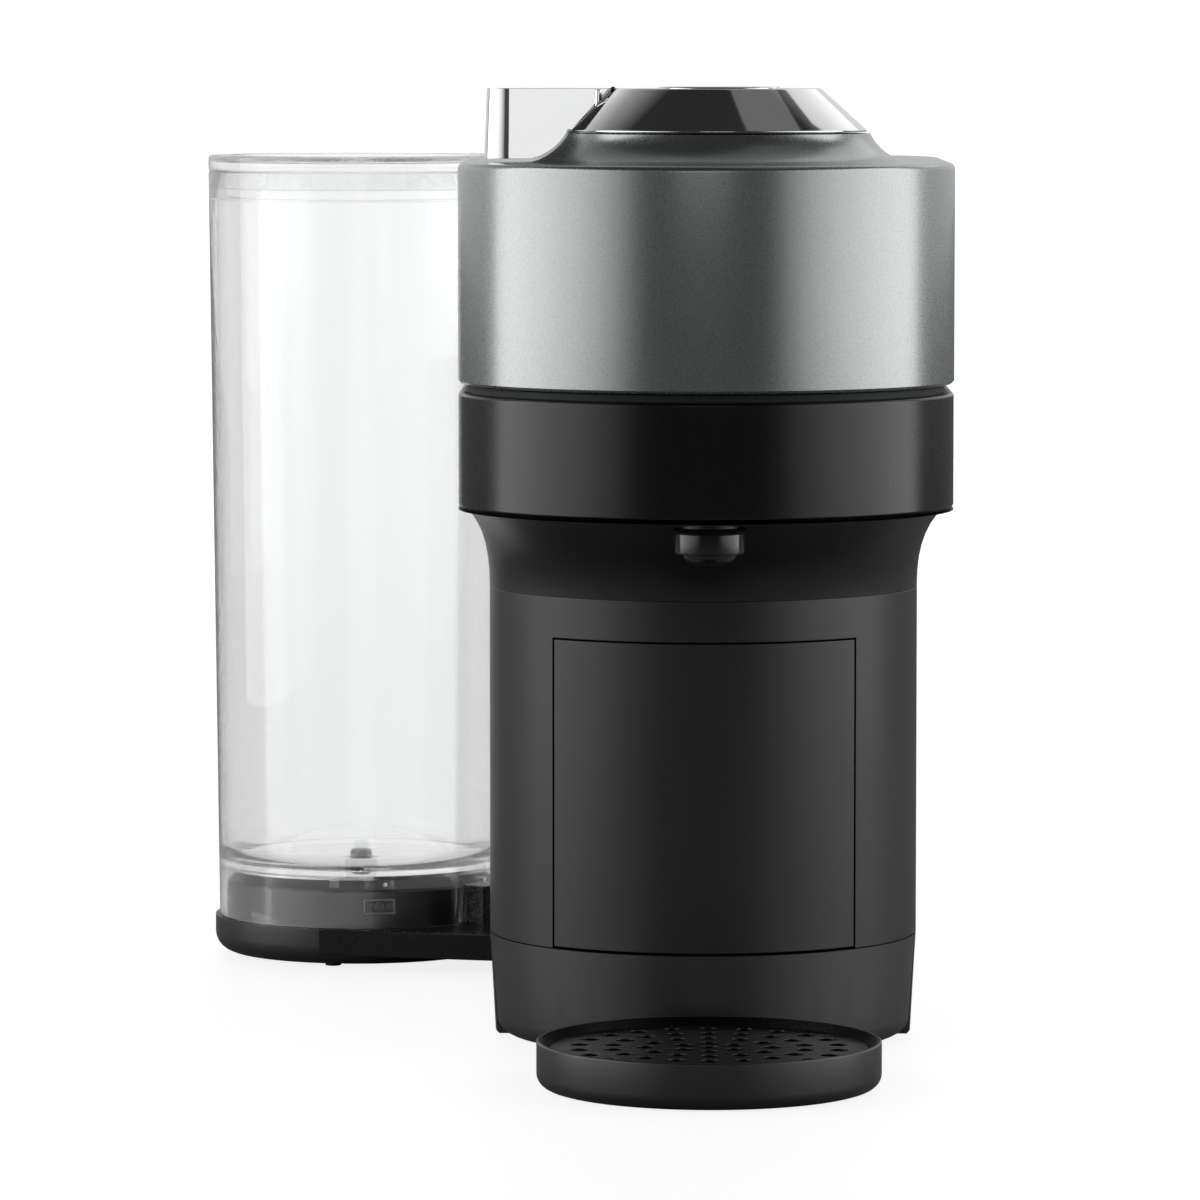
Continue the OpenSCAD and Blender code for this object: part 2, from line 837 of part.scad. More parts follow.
module bearing_housing() {
  color(dark)
  translate([0, head_y, 0])
  rotate_extrude() polygon([
    [injector_r + 1.6, liner_top], [injector_r + 4.1, liner_top], [injector_r + 4.1, housing_z + 2.5],
    [12, housing_z + 2.5], [12, housing_top], [bearing_r + seat, housing_top],
    [bearing_r + seat, housing_z + 2.5], [shaft_r + 1.5, housing_z + 2.5], [shaft_r + 1.5, housing_z],
    [injector_r + 1.6, housing_z]
  ]);
}

module injector_bearings() {
  color(steel)
  for (z = [housing_z + 2.5, housing_top - 5]) ring(0, head_y, bearing_r, shaft_r + run, z, z + 5);
}

module injector_head() {
  z0 = liner_z + 0.4;
  needles = 18;
  color(steel)
  translate([0, head_y, 0]) {
    post(0, 0, injector_r, z0, liner_top + 2);
    for (i = [0:needles - 1]) rotate(360 * i / needles) translate([injector_r - 6.9, 0, z0 - 3.6])
      cylinder(r1 = 0.25, r2 = 0.9, h = 4, $fn = 16);
    translate([0, 0, z0 - 3.6]) cylinder(r1 = 0.6, r2 = 1.8, h = 4, $fn = 24);
  }
}

module chamber_seal() {
  z0 = liner_z + 0.4;
  color(rubber) ring(0, head_y, injector_r, injector_r - 2.2, z0 - 1.3, z0);
}

shaft_top = pulley_z + pulley_h + 1.5;
module injector_shaft() {
  color(steel) ring(0, head_y, shaft_r, 1.5, liner_top + 2, shaft_top);
}

module rotor_pulley() {
  color(dark) ring(0, head_y, rotor_pulley_r, shaft_r + 0.02, pulley_z, pulley_z + pulley_h);
}

module lid_motor() {
  color(steel)
  difference() {
    post(0, motor_y, motor_r, liner_top, housing_top + 6);
    post(0, motor_y, motor_shaft_r + run, housing_top - 4, big);
  }
}

motor_shaft_r = 2.5;
module motor_shaft() {
  color(steel) post(0, motor_y, motor_shaft_r, housing_top - 3, shaft_top);
}

module motor_pulley() {
  color(dark) ring(0, motor_y, motor_pulley_r, motor_shaft_r + 0.02, pulley_z, pulley_z + pulley_h);
}

module belt_outline(grow) {
  hull() {
    translate([0, head_y]) circle(rotor_pulley_r + grow, $fn = 48);
    translate([0, motor_y]) circle(motor_pulley_r + grow, $fn = 48);
  }
}

module drive_belt() {
  color(rubber)
  translate([0, 0, pulley_z + 1.5]) linear_extrude(pulley_h - 3)
  difference() {
    belt_outline(slip + belt_t);
    belt_outline(slip);
  }
}

module injector_hose() {
  z = shaft_top + hose_r - 0.2;
  color("#d9dedd")
  tube(concat(
    bezier([0, head_y - 4, z + 0.6], [6, head_y + 20, z + 0.6], [34, head_y + 30, z], [36, head_y + 60, z - 6], 10),
    bezier([36, head_y + 66, z - 8], [36, -10, z - 18], [30, 22, liner_top + 16],
      [27, 36, liner_top + hose_r + 0.1], 10)
  ), hose_r - 0.4);
}

module code_reader() {
  color("#3a3b3d") {
    block(-8, 8, head_y + injector_r + 4.6, head_y + injector_r + 14, liner_top, liner_top + 9);
  }
}

// Lock

module cone_solid(gap) {
  translate([lock_x, head_y, 0]) rotate_extrude() polygon([
    [0, cone_z - gap], [cone_r + gap, cone_z - gap], [cone_r + gap, cone_z + 0.5],
    [cone_top_r + gap, cone_top + gap], [0, cone_top + gap]
  ]);
}

module lock_cone() {
  r = button_r + 0.4;
  color(chrome)
  difference() {
    cone_solid(0);
    post(lock_x, head_y, r, button_floor, big);
    post(lock_x, head_y, r + ring_light_w + seat, cone_top - 2.2, big);
  }
}

module light_ring() {
  r = button_r + 0.4;
  color("#eef0f0") ring(lock_x, head_y, r + ring_light_w, r, cone_top - 2.2, cone_top);
}

module lock_lever() {
  front = 1;
  r = lever_t / 2;
  color(chrome)
  difference() {
    translate([lock_x, head_y + front + r, lid_top + 1]) {
      translate([-lever_reach + r, 0, 0]) cylinder(r = r, h = cone_top - lid_top - 1);
      block(-lever_reach + r, -cone_top_r + 8, -r, r, 0, cone_top - lid_top - 1);
    }
    shoulder(1, shoulder_z + 1);
    cone_solid(0.15);
  }
}

module lock_hub() {
  z = shoulder_z - wall;
  color(dark)
  translate([lock_x, head_y, 0]) rotate_extrude() polygon([
    [26, z - 11], [hub_hole_r - slip, z - 11], [hub_hole_r - slip, z - 3.1],
    [hub_cavity_r - 2, z - 3.1], [hub_cavity_r - 2, z - slip], [hub_hole_r - slip, z - slip],
    [hub_hole_r - slip, cone_z - seat], [26, cone_z - seat]
  ]);
}

button_z = button_floor + button_travel + 2.2; // the shut spring is 2.2 high
module brew_button() {
  color(chrome)
  translate([lock_x, head_y, 0]) rotate_extrude() polygon([
    [0, button_z], [button_r, button_z], [button_r, cone_top + button_rise - 0.6],
    [button_r - 0.6, cone_top + button_rise], [0, cone_top + button_rise]
  ]);
}

module button_spring() {
  turns = 3;
  steps = 14;
  wire = 0.4;
  z0 = button_floor + wire + 0.05;
  rise = button_z - button_floor - 2 * wire - 0.1;
  color(steel)
  translate([lock_x, head_y, 0])
  tube([for (i = [0:turns * steps]) let (a = 360 * i / steps)
    [5 * cos(a), 5 * sin(a), z0 + rise * i / (turns * steps)]], wire, 8, [0, 0, 1]);
}

// Water tank and its arm, drawn with the arm along X from the swivel

module on_arm() translate([0, body_len, 0]) rotate(swivel_angle) children();
module on_tank() on_arm() translate([swivel_reach, 0, 0]) children();

function arm_half(u) = 17 + 18 * pow(u, 3);
module tank_arm() {
  reach = swivel_reach - dish_r + 22;
  n = 10;
  side = [for (i = [0:n]) [reach * i / n, arm_half(i / n)]];
  back = [for (i = [n:-1:0]) [reach * i / n, -arm_half(i / n)]];
  color(black)
  difference() {
    union() {
      on_arm() post(0, 0, hub_r, arm_z, arm_top);
      on_arm() translate([0, 0, slab_z]) linear_extrude(arm_top - slab_z) polygon(concat(side, back));
      on_tank() rotate_extrude() polygon(concat(
        [[0, dish_z]], arc(dish_r - 6, dish_z + 6, 6, -90, 0, 6),
        [[dish_r, dish_top], [plinth_r, dish_top], [plinth_r, plinth_top - 0.8],
        [plinth_r - 0.8, plinth_top], [0, plinth_top]]
      ));
    }
    on_arm() post(0, 0, post_r + run, 0, big);
    on_arm() post(0, 0, flange_r + slip, 0, flange_h + 0.4);
    on_tank() post(0, 0, socket_r + seat, plinth_top - 7.5, big);
    on_tank() post(0, 0, 34, -eps, plinth_top - 10);
    on_tank() for (p = pegs) post(p[0], p[1], peg_r + run, -eps, 6);
    on_arm() latch_shape(seat);
  }
}

// Pegs under the arm's dish
peg_reach = 38;
pegs = [for (a = [113.7, 233.7, 353.7]) [peg_reach * cos(a), peg_reach * sin(a)]];
module arm_feet() {
  color(rubber) on_tank() for (p = pegs) post(p[0], p[1], peg_r, 0, 6);
}

// Block that locks the tank's skirt onto the plinth
module latch_shape(gap) {
  x1 = swivel_reach - tank_r + 2;
  block(x1 - 9 - gap, x1 + gap, -latch_half - gap, latch_half + gap, arm_top - 3 - gap, tank_floor_z - 3 + gap);
}
module dock_latch() {
  color(black) on_arm() latch_shape(0);
}

module dock_socket() {
  z0 = plinth_top - 7.5;
  color(dark) on_tank() rotate_extrude() polygon([
    [0, z0], [socket_r, z0], [socket_r, plinth_top - 0.1], [neck_r + slip, plinth_top - 0.1],
    [neck_r + slip, z0 + 2.8], [0, z0 + 2.8]
  ]);
}

skirt_z = 12.5;
band = 13.5; // height of the thicker band below the rim
module water_tank() {
  r0 = tank_r - 0.2;
  slope = (tank_rim_r - tank_r) / (tank_top_z - tank_floor_z);
  band_r = tank_rim_r - slope * band;
  color(clear)
  difference() {
    on_tank() rotate_extrude() polygon([
      [tank_r - tank_wall, skirt_z], [r0, skirt_z], [tank_r, tank_floor_z], [tank_rim_r, tank_top_z],
      [tank_rim_r - tank_wall, tank_top_z], [band_r - tank_wall, tank_top_z - band],
      [tank_r - tank_wall, tank_floor_z + 6], [tank_r - tank_wall - 3, tank_floor_z + 2.4],
      [neck_r + seat, tank_floor_z + 2.4], [neck_r + seat, tank_floor_z], [tank_r - tank_wall, tank_floor_z]
    ]);
    on_arm() block(-2 * latch_half, swivel_reach - plinth_r + 3, -latch_half - 1, latch_half + 1,
      0, tank_floor_z - 1.5);
  }
}

module tank_valve() {
  z = tank_floor_z;
  color(dark) on_tank() rotate_extrude() polygon([
    [stem_r, z - 6.2], [neck_r, z - 6.2], [neck_r, z + 2.4], [9, z + 2.4], [9, z + 4], [5.8, z + 4.4],
    [5.5, z + 9.4], [0, z + 9.4], [0, z + 7.9], [stem_r, z + 7.9]
  ]);
}

module tank_lid() {
  plug_r = tank_rim_r - tank_wall - 0.5;
  z = tank_top_z + seam;
  top = tank_top_z + tank_lid_h;
  color(clear)
  on_tank() rotate_extrude() polygon([
    [0, z], [plug_r - 2, z], [plug_r - 2, z - 6], [plug_r, z - 6], [plug_r, z], [tank_rim_r, z],
    [tank_rim_r, top - 0.6], [tank_rim_r - 0.6, top], [tank_rim_r - 5, top], [tank_rim_r - 7, top - 2.4],
    [0, top - 2.4]
  ]);
}

base_cover();
column_shell();
head_flare();
head_ring();
deck_cover();
chassis();
coffee_collector();
nozzle();
nozzle_tip();
holder_bearing();
capsule_chute();
pump();
pump_mounts();
heater();
flow_meter();
inlet_hose();
pump_hose();
heater_hose();
control_board();
board_parts();
cord_gland();
rubber_feet();
base_screws();
hinge_bracket();
hinge_pin();
lid_gasket();
lid_switch();
swivel_post();
post_seal();
head_shell();
head_liner();
bearing_housing();
injector_bearings();
lid_motor();
drive_belt();
injector_hose();
code_reader();
injector_head();
injector_shaft();
rotor_pulley();
chamber_seal();
motor_shaft();
motor_pulley();
lock_cone();
lock_lever();
lock_hub();
light_ring();
button_spring();
brew_button();
capsule_holder();
drip_tray();
drip_grid();
capsule_bin();
tank_arm();
dock_latch();
dock_socket();
arm_feet();
water_tank();
tank_lid();
tank_valve();
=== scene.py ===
"""Looks of the pod coffee machine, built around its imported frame."""

import json
import math

import bmesh
import bpy
from mathutils import Matrix, Vector

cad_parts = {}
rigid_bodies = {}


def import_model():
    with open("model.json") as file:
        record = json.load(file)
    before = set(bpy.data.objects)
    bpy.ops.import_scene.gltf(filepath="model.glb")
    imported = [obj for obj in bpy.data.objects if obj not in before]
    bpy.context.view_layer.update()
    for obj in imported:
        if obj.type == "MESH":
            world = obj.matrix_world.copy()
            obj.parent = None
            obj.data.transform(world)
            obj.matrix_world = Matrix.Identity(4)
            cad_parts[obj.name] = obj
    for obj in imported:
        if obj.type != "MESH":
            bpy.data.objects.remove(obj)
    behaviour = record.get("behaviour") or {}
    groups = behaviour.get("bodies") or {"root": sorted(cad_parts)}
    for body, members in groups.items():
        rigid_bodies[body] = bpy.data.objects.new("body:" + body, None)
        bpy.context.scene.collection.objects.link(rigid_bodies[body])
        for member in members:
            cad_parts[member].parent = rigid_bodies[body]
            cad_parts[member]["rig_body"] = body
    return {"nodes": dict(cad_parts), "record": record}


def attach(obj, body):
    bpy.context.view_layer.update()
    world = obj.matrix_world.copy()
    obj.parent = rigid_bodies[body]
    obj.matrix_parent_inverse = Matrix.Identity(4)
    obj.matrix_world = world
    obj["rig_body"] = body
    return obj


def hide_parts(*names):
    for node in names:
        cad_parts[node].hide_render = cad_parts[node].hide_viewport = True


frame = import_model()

bl_info = {
    "name": "Pod coffee machine",
    "version": (1, 0, 0),
    "blender": (4, 5, 0),
    "location": "3D View > Sidebar > Machine",
    "description": "Builds the covers, lock, tray, tank and finishes of a pod coffee machine",
    "category": "Object",
}

MM = 0.001
UP = Vector((0, 0, 1))
WINDOW_AIM = math.radians(-80)  # where the level window looks, from the X axis
FINE = 160  # steps round the large turned pieces
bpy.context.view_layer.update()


# Sizes and colours that a user would change


def length(name, description, value):
    """A length property whose default is given in millimetres."""
    return bpy.props.FloatProperty(
        name=name, description=description, default=value * MM, unit="LENGTH", precision=4, min=0
    )


def tint(name, description, value):
    return bpy.props.FloatVectorProperty(
        name=name, description=description, default=value, subtype="COLOR", size=3, min=0, max=1
    )


class MachineSizes(bpy.types.PropertyGroup):
    head_radius: length("Head radius", "Radius of the lifting head", 68.9)
    head_reach: length("Head reach", "From the column's front centre to the head's centre", 99)
    body_radius: length("Column radius", "Radius of the column's round ends", 62.5)
    body_length: length("Column length", "Between the centres of the column's round ends", 106)
    cover_wall: length("Cover wall", "Wall of the moulded covers", 2.5)
    seam_height: length("Base seam", "Height of the seam over the base cover", 29.7)
    column_top: length("Column top", "Height of the column's upper edge", 131)
    window_half: length("Bin opening", "Half of the width of the opening for the bin", 43.4)
    window_top: length("Bin opening top", "Height of the bin opening's upper edge", 119.2)
    lid_bottom: length("Lid bottom", "Height of the lid's lower edge", 195)
    lid_top: length("Lid top", "Height of the lid's flat top", 256)
    lid_round: length("Lid rounding", "Rounding of the lid's upper edge", 1.6)
    shoulder_foot: length("Shoulder foot", "Radius at which the shoulder starts to rise", 54.3)
    shoulder_neck: length("Shoulder neck", "Radius of the shoulder's top", 42)
    shoulder_height: length("Shoulder height", "Rise of the shoulder over the lid", 8.1)
    lock_offset: length("Lock offset", "Sideways offset of the lock's axis", 3.5)
    cone_bottom: length("Cone bottom", "Height of the lock cone's lower edge", 264.5)
    cone_top: length("Cone top", "Height of the lock cone's upper edge", 276.5)
    cone_foot: length("Cone foot", "Radius of the cone's lower edge", 41.1)
    cone_rim: length("Cone rim", "Radius of the cone's upper edge", 28.2)
    lever_reach: length("Lever reach", "From the lock's axis to the lever's tip", 65.3)
    lever_thickness: length("Lever thickness", "Thickness of the lever", 16)
    button_radius: length("Button radius", "Radius of the brew button", 17.1)
    nozzle_radius: length("Nozzle radius", "Outer radius of the coffee nozzle", 9.75)
    nozzle_bottom: length("Nozzle bottom", "Height of the nozzle's lip", 148)
    spout_offset: length("Spout offset", "Sideways offset of the nozzle and the tray", 0.95)
    tray_radius: length("Tray radius", "Outer radius of the drip tray", 48)
    tray_height: length("Tray height", "Height of the drip tray", 13.1)
    tray_forward: length("Tray forward", "From the head's centre to the tray's centre", 15)
    swivel_reach: length("Swivel reach", "From the arm's swivel to the tank's centre", 131.5)
    tank_radius: length("Tank radius", "Outer radius of the tank above its base", 45.3)
    tank_rim_radius: length("Tank rim radius", "Outer radius of the tank's rim", 47.8)
    tank_floor: length("Tank floor", "Height of the tank's floor", 27.5)
    tank_rim: length("Tank rim", "Height of the tank's rim", 249)
    tank_wall: length("Tank wall", "Wall of the tank", 2.2)
    arm_angle: bpy.props.FloatProperty(
        name="Arm angle", description="Angle of the tank's arm from the X axis",
        default=math.radians(145.2), subtype="ANGLE",
    )


class MachineColours(bpy.types.PropertyGroup):
    lid_gray: tint("Lid gray", "Metallic gray of the lifting head", (0.372, 0.388, 0.386))
    cover_black: tint("Cover black", "Black of the moulded covers", (0.0085, 0.0087, 0.009))
    gloss_black: tint("Gloss black", "Black of the ring and the nozzle", (0.0007, 0.0007, 0.0008))
    frame_black: tint("Frame black", "Dark gray of the hidden mouldings", (0.045, 0.046, 0.048))
    chrome: tint("Chrome", "Plating of the cone, lever and button", (0.82, 0.825, 0.83))
    grid_steel: tint("Grid steel", "Plating of the drip grid", (0.2, 0.2, 0.205))
    tank_clear: tint("Tank", "Clear plastic of the tank and its lid", (0.915, 0.92, 0.92))
    floor: tint("Floor", "Counter under the machine", (0.28, 0.28, 0.28))


def mm(name):
    """A size in millimetres."""
    return getattr(bpy.context.scene.machine_sizes, name) / MM


def colour(name):
    return tuple(getattr(bpy.context.scene.machine_colours, name)) + (1.0,)


# Solids, in millimetres


def profile_wire(bm, points, closed):
    """Edges through (across, up) points; a third value rounds that corner."""
    verts = [bm.verts.new((p[0], 0, p[1])) for p in points]
    for a, b in zip(verts, verts[1:]):
        bm.edges.new((a, b))
    if closed:
        bm.edges.new((verts[-1], verts[0]))
    for vert, point in zip(verts, points):
        if len(point) > 2:
            bmesh.ops.bevel(
                bm, geom=[vert], offset=point[2], offset_type="OFFSET",
                segments=4 + int(point[2]), profile=0.5, affect="VERTICES", material=-1,
            )
    bmesh.ops.remove_doubles(bm, verts=bm.verts[:], dist=1e-3)
    return bm.verts[:] + bm.edges[:]


def close_up(bm):
    bmesh.ops.remove_doubles(bm, verts=bm.verts[:], dist=1e-4)
    bmesh.ops.dissolve_degenerate(bm, edges=bm.edges[:], dist=1e-4)
    loose = [e for e in bm.edges if not e.link_faces]
    if loose:
        bmesh.ops.delete(bm, geom=loose, context="EDGES")
    bmesh.ops.recalc_face_normals(bm, faces=bm.faces[:])
    return bm


def turned(points, x=0.0, y=0.0, steps=128, closed=False):
    """Solid of a profile turned about an upright axis."""
    bm = bmesh.new()
    geom = profile_wire(bm, points, closed)
    bmesh.ops.spin(
        bm, geom=geom, cent=(0, 0, 0), axis=UP, dvec=(0, 0, 0), angle=math.tau, steps=steps,
        use_merge=True, use_duplicate=False,
    )
    bmesh.ops.translate(bm, verts=bm.verts[:], vec=(x, y, 0))
    return close_up(bm)


def pill(points, y0, y1, closed=False, steps=64):
    """Solid of a profile carried round two round ends and along the straight sides."""
    bm = bmesh.new()
    geom = profile_wire(bm, points, closed)
    bmesh.ops.translate(bm, verts=bm.verts[:], vec=(0, y1, 0))
    for centre, shift in ((y1, y0 - y1), (y0, y1 - y0)):
        turn = bmesh.ops.spin(
            bm, geom=geom, cent=(0, centre, 0), axis=UP, dvec=(0, 0, 0), angle=math.pi,
            steps=steps, use_merge=False, use_duplicate=False,
        )["geom_last"]
        edges = [e for e in turn if isinstance(e, bmesh.types.BMEdge)]
        geom = bmesh.ops.extrude_edge_only(bm, edges=edges)["geom"]
        verts = [v for v in geom if isinstance(v, bmesh.types.BMVert)]
        bmesh.ops.translate(bm, verts=verts, vec=(0, shift, 0))
        geom = verts + [e for e in geom if isinstance(e, bmesh.types.BMEdge)]
    return close_up(bm)


def block(x0, x1, y0, y1, z0, z1):
    bm = bmesh.new()
    middle = Matrix.Translation(((x0 + x1) / 2, (y0 + y1) / 2, (z0 + z1) / 2))
    sides = Matrix.Diagonal((x1 - x0, y1 - y0, z1 - z0, 1))
    bmesh.ops.create_cube(bm, size=1, matrix=middle @ sides)
    return bm


def rod(a, b, radius, segments=48, tip=None):
    """Round bar from point a to point b."""
    a, b = Vector(a), Vector(b)
    bm = bmesh.new()
    turn = (b - a).to_track_quat("Z", "Y").to_matrix().to_4x4()
    bmesh.ops.create_cone(
        bm, cap_ends=True, segments=segments, radius1=radius,
        radius2=radius if tip is None else tip, depth=(b - a).length,
        matrix=Matrix.Translation((a + b) / 2) @ turn,
    )
    return bm


def half(bm, point, normal):
    """The part of a solid behind a plane."""
    cut = bmesh.ops.bisect_plane(
        bm, geom=bm.verts[:] + bm.edges[:] + bm.faces[:], dist=1e-4, plane_co=point,
        plane_no=normal, clear_outer=True,
    )["geom_cut"]
    edges = [e for e in cut if isinstance(e, bmesh.types.BMEdge)]
    bmesh.ops.holes_fill(bm, edges=edges, sides=0)
    return close_up(bm)


def moved(bm, matrix):
    bmesh.ops.transform(bm, matrix=matrix, verts=bm.verts[:])
    return bm


def spare(bm, name):
    """A working object made from a solid."""
    mesh = bpy.data.meshes.new(name)
    bm.to_mesh(mesh)
    bm.free()
    obj = bpy.data.objects.new(name, mesh)
    bpy.context.scene.collection.objects.link(obj)
    return obj


def shaped(base, joined=(), cut=()):
    """A solid with others joined to it, then others cut from it."""
    body = spare(base, "work_body")
    tools = []
    for kind, solids in (("UNION", joined), ("DIFFERENCE", cut)):
        for solid in solids:
            tool = spare(solid, "work_tool")
            tools.append(tool)
            step = body.modifiers.new(kind.lower(), "BOOLEAN")
            step.operation = kind
            step.solver = "EXACT"
            step.object = tool
    bpy.context.view_layer.update()
    depsgraph = bpy.context.evaluated_depsgraph_get()
    mesh = bpy.data.meshes.new_from_object(body.evaluated_get(depsgraph))
    bm = bmesh.new()
    bm.from_mesh(mesh)
    for obj in [body] + tools:
        old = obj.data
        bpy.data.objects.remove(obj)
        bpy.data.meshes.remove(old)
    bpy.data.meshes.remove(mesh)
    if not bm.faces:
        raise RuntimeError("a cut left nothing of its piece")
    bmesh.ops.remove_doubles(bm, verts=bm.verts[:], dist=1e-4)
    return bm


def one_mesh(solids):
    """Several solids in one."""
    whole = bmesh.new()
    for bm in solids:
        part = bpy.data.meshes.new("work_part")
        bm.to_mesh(part)
        bm.free()
        whole.from_mesh(part)
        bpy.data.meshes.remove(part)
    return whole


def node_copy(node):
    """A merged copy of a frame node's mesh, in millimetres, with its flat faces whole."""
    bm = bmesh.new()
    bm.from_mesh(frame["nodes"][node].data)
    bmesh.ops.scale(bm, vec=(1 / MM,) * 3, verts=bm.verts[:])
    bmesh.ops.remove_doubles(bm, verts=bm.verts[:], dist=2e-3)
    bmesh.ops.dissolve_limit(
        bm, angle_limit=math.radians(0.4), use_dissolve_boundaries=False,
        verts=bm.verts[:], edges=bm.edges[:], delimit={"NORMAL"},
    )
    return bm


SLOT_OF = {s["node"]: s["material_slot"] for s in frame["record"]["subparts"]}
BODY_OF = {n: o["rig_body"] for n, o in frame["nodes"].items()}
FINISHES = {}


def put(name, solids, nodes=(), body=None, slot=None, finish=None, edge=0.0, crease=38):
    """One finished piece: its mesh in metres, its body, its slot and the nodes it stands for."""
    nodes = [nodes] if isinstance(nodes, str) else list(nodes)
    bm = one_mesh(solids if isinstance(solids, (list, tuple)) else [solids])
    bmesh.ops.scale(bm, vec=(MM,) * 3, verts=bm.verts[:])
    for face in bm.faces:
        face.smooth = True
    for e in bm.edges:
        e.smooth = len(e.link_faces) == 2 and e.calc_face_angle(0) < math.radians(crease)
    mesh = bpy.data.meshes.new(name)
    bm.to_mesh(mesh)
    bm.free()
    obj = bpy.data.objects.new(name, mesh)
    bpy.context.scene.collection.objects.link(obj)
    if edge:
        ease = obj.modifiers.new("eased edges", "BEVEL")
        ease.width = edge * MM
        ease.segments = 3
        ease.limit_method = "ANGLE"
        ease.angle_limit = math.radians(crease)
        ease.use_clamp_overlap = True
        ease.harden_normals = True
        ease.miter_outer = "MITER_ARC"
    slot = slot or SLOT_OF[nodes[0]]
    mesh.materials.append(FINISHES[finish or slot])
    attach(obj, body or BODY_OF[nodes[0]])
    if nodes:
        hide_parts(*nodes)


# Finishes


class Shader:
    """A material's node tree, with a Principled surface that reads Object coordinates."""

    def __init__(self, name, **values):
        self.material = bpy.data.materials.new(name)
        self.material.use_nodes = True
        self.nodes = self.material.node_tree.nodes
        self.links = self.material.node_tree.links
        self.surface = self.nodes["Principled BSDF"]
        for key, value in values.items():
            self.surface.inputs[key.replace("_", " ")].default_value = value
        self.place = self.nodes.new("ShaderNodeTexCoord").outputs["Object"]

    def join(self, value, socket):
        if isinstance(value, bpy.types.NodeSocket):
            self.links.new(value, socket)
        else:
            socket.default_value = value

    def add(self, kind, inputs, **settings):
        node = self.nodes.new("ShaderNode" + kind)
        for key, value in settings.items():
            setattr(node, key, value)
        for key, value in inputs.items():
            self.join(value, node.inputs[key])
        return node

    def grain(self, scale, detail=2.0, stretch=(1, 1, 1), roughness=0.5):
        """Noise in the piece's own space, stretched along its axes."""
        place = self.place
        if stretch != (1, 1, 1):
            place = self.add("Mapping", {"Vector": place, "Scale": stretch}).outputs["Vector"]
        noise = self.add(
            "TexNoise", {"Vector": place, "Scale": scale, "Detail": detail, "Roughness": roughness}
        )
        return noise.outputs["Fac"]

    def fit(self, value, low, high, start=0.3, end=0.7):
        return self.add(
            "MapRange", {"Value": value, "From Min": start, "From Max": end, "To Min": low, "To Max": high}
        ).outputs["Result"]

    def shade(self, factor, dark, light):
        """The colour between two colours at a factor."""
        mix = self.add("Mix", {}, data_type="RGBA")
        self.join(factor, mix.inputs[0])
        self.join(dark, mix.inputs[6])
        self.join(light, mix.inputs[7])
        return mix.outputs[2]

    def set(self, **values):
        for key, value in values.items():
            self.join(value, self.surface.inputs[key.replace("_", " ")])

    def bump(self, height, distance, strength=1.0, under=None):
        inputs = {"Height": height, "Distance": distance * MM, "Strength": strength}
        if under is not None:
            inputs["Normal"] = under
        return self.add("Bump", inputs).outputs["Normal"]


def scaled(value, factor):
    return tuple(min(1.0, c * factor) for c in value[:3]) + (1.0,)


def moulded(
    name, base, roughness, texture=2400, depth=0.003, coat=0.0, sheen=0.0, spread=0.05, ior=1.49
):
    """Moulded plastic: fine spark-eroded grain, slight cloudiness in its gloss."""
    s = Shader(name, Roughness=roughness, IOR=ior)
    cloud = s.grain(14, 3)
    fine = s.grain(texture, 2)
    s.set(Base_Color=s.shade(s.fit(cloud, 0, 1), scaled(base, 0.9), scaled(base, 1.12)))
    mottle = s.add(
        "Math", {0: s.fit(cloud, -spread, spread), 1: s.fit(fine, -0.03, 0.03)}, operation="ADD"
    )
    total = s.add("Math", {0: mottle.outputs[0], 1: roughness}, operation="ADD")
    s.set(Roughness=total.outputs[0], Normal=s.bump(fine, depth))
    s.surface.inputs["Coat Weight"].default_value = coat
    s.surface.inputs["Coat Roughness"].default_value = 0.12
    s.surface.inputs["Sheen Weight"].default_value = sheen
    return s.material


def painted_metal(name, base):
    """Satin metallic paint: tiny flakes that differ in shade and tilt, under a thin lacquer."""
    s = Shader(name, Metallic=0.92, Roughness=0.27)
    cells = s.add("TexVoronoi", {"Vector": s.place, "Scale": 2600.0}, feature="F1")
    sparkle = s.add("SeparateColor", {"Color": cells.outputs["Color"]})
    cloud = s.grain(9, 2)
    flake = s.shade(
        s.fit(sparkle.outputs["Red"], 0, 1, 0.05, 0.95), scaled(base, 0.95), scaled(base, 1.05)
    )
    tone = s.shade(s.fit(cloud, 0, 0.22), flake, scaled(base, 1.05))
    rough = s.fit(sparkle.outputs["Green"], 0.26, 0.30, 0, 1)
    tilt = s.bump(sparkle.outputs["Blue"], 0.0004, 0.3)
    s.set(Base_Color=tone, Roughness=rough, Normal=s.bump(s.grain(900, 2), 0.0008, 0.3, tilt))
    s.surface.inputs["Coat Weight"].default_value = 0.2
    s.surface.inputs["Coat Roughness"].default_value = 0.14
    return s.material


def plated(name, base):
    """Bright plating with a faint haze and slight waviness."""
    roughness = 0.07
    s = Shader(name, Metallic=1.0, Roughness=roughness)
    haze = s.grain(35, 4, roughness=0.6)
    s.set(
        Base_Color=s.shade(s.fit(haze, 0, 1), scaled(base, 0.965), base),
        Roughness=s.fit(haze, roughness * 0.8, roughness * 1.35),
        Normal=s.bump(s.grain(22, 1), 0.004, 0.35),
    )
    return s.material


def brushed(name, base, roughness, stretch=(1, 1, 0.04)):
    """Drawn or machined metal with fine lines along one direction."""
    s = Shader(name, Metallic=1.0, Roughness=roughness)
    lines = s.grain(900, 3, stretch)
    cloud = s.grain(25, 3)
    s.set(
        Base_Color=s.shade(s.fit(cloud, 0, 1), scaled(base, 0.88), scaled(base, 1.08)),
        Roughness=s.fit(lines, roughness - 0.07, roughness + 0.09),
        Normal=s.bump(lines, 0.004, 0.5),
    )
    return s.material


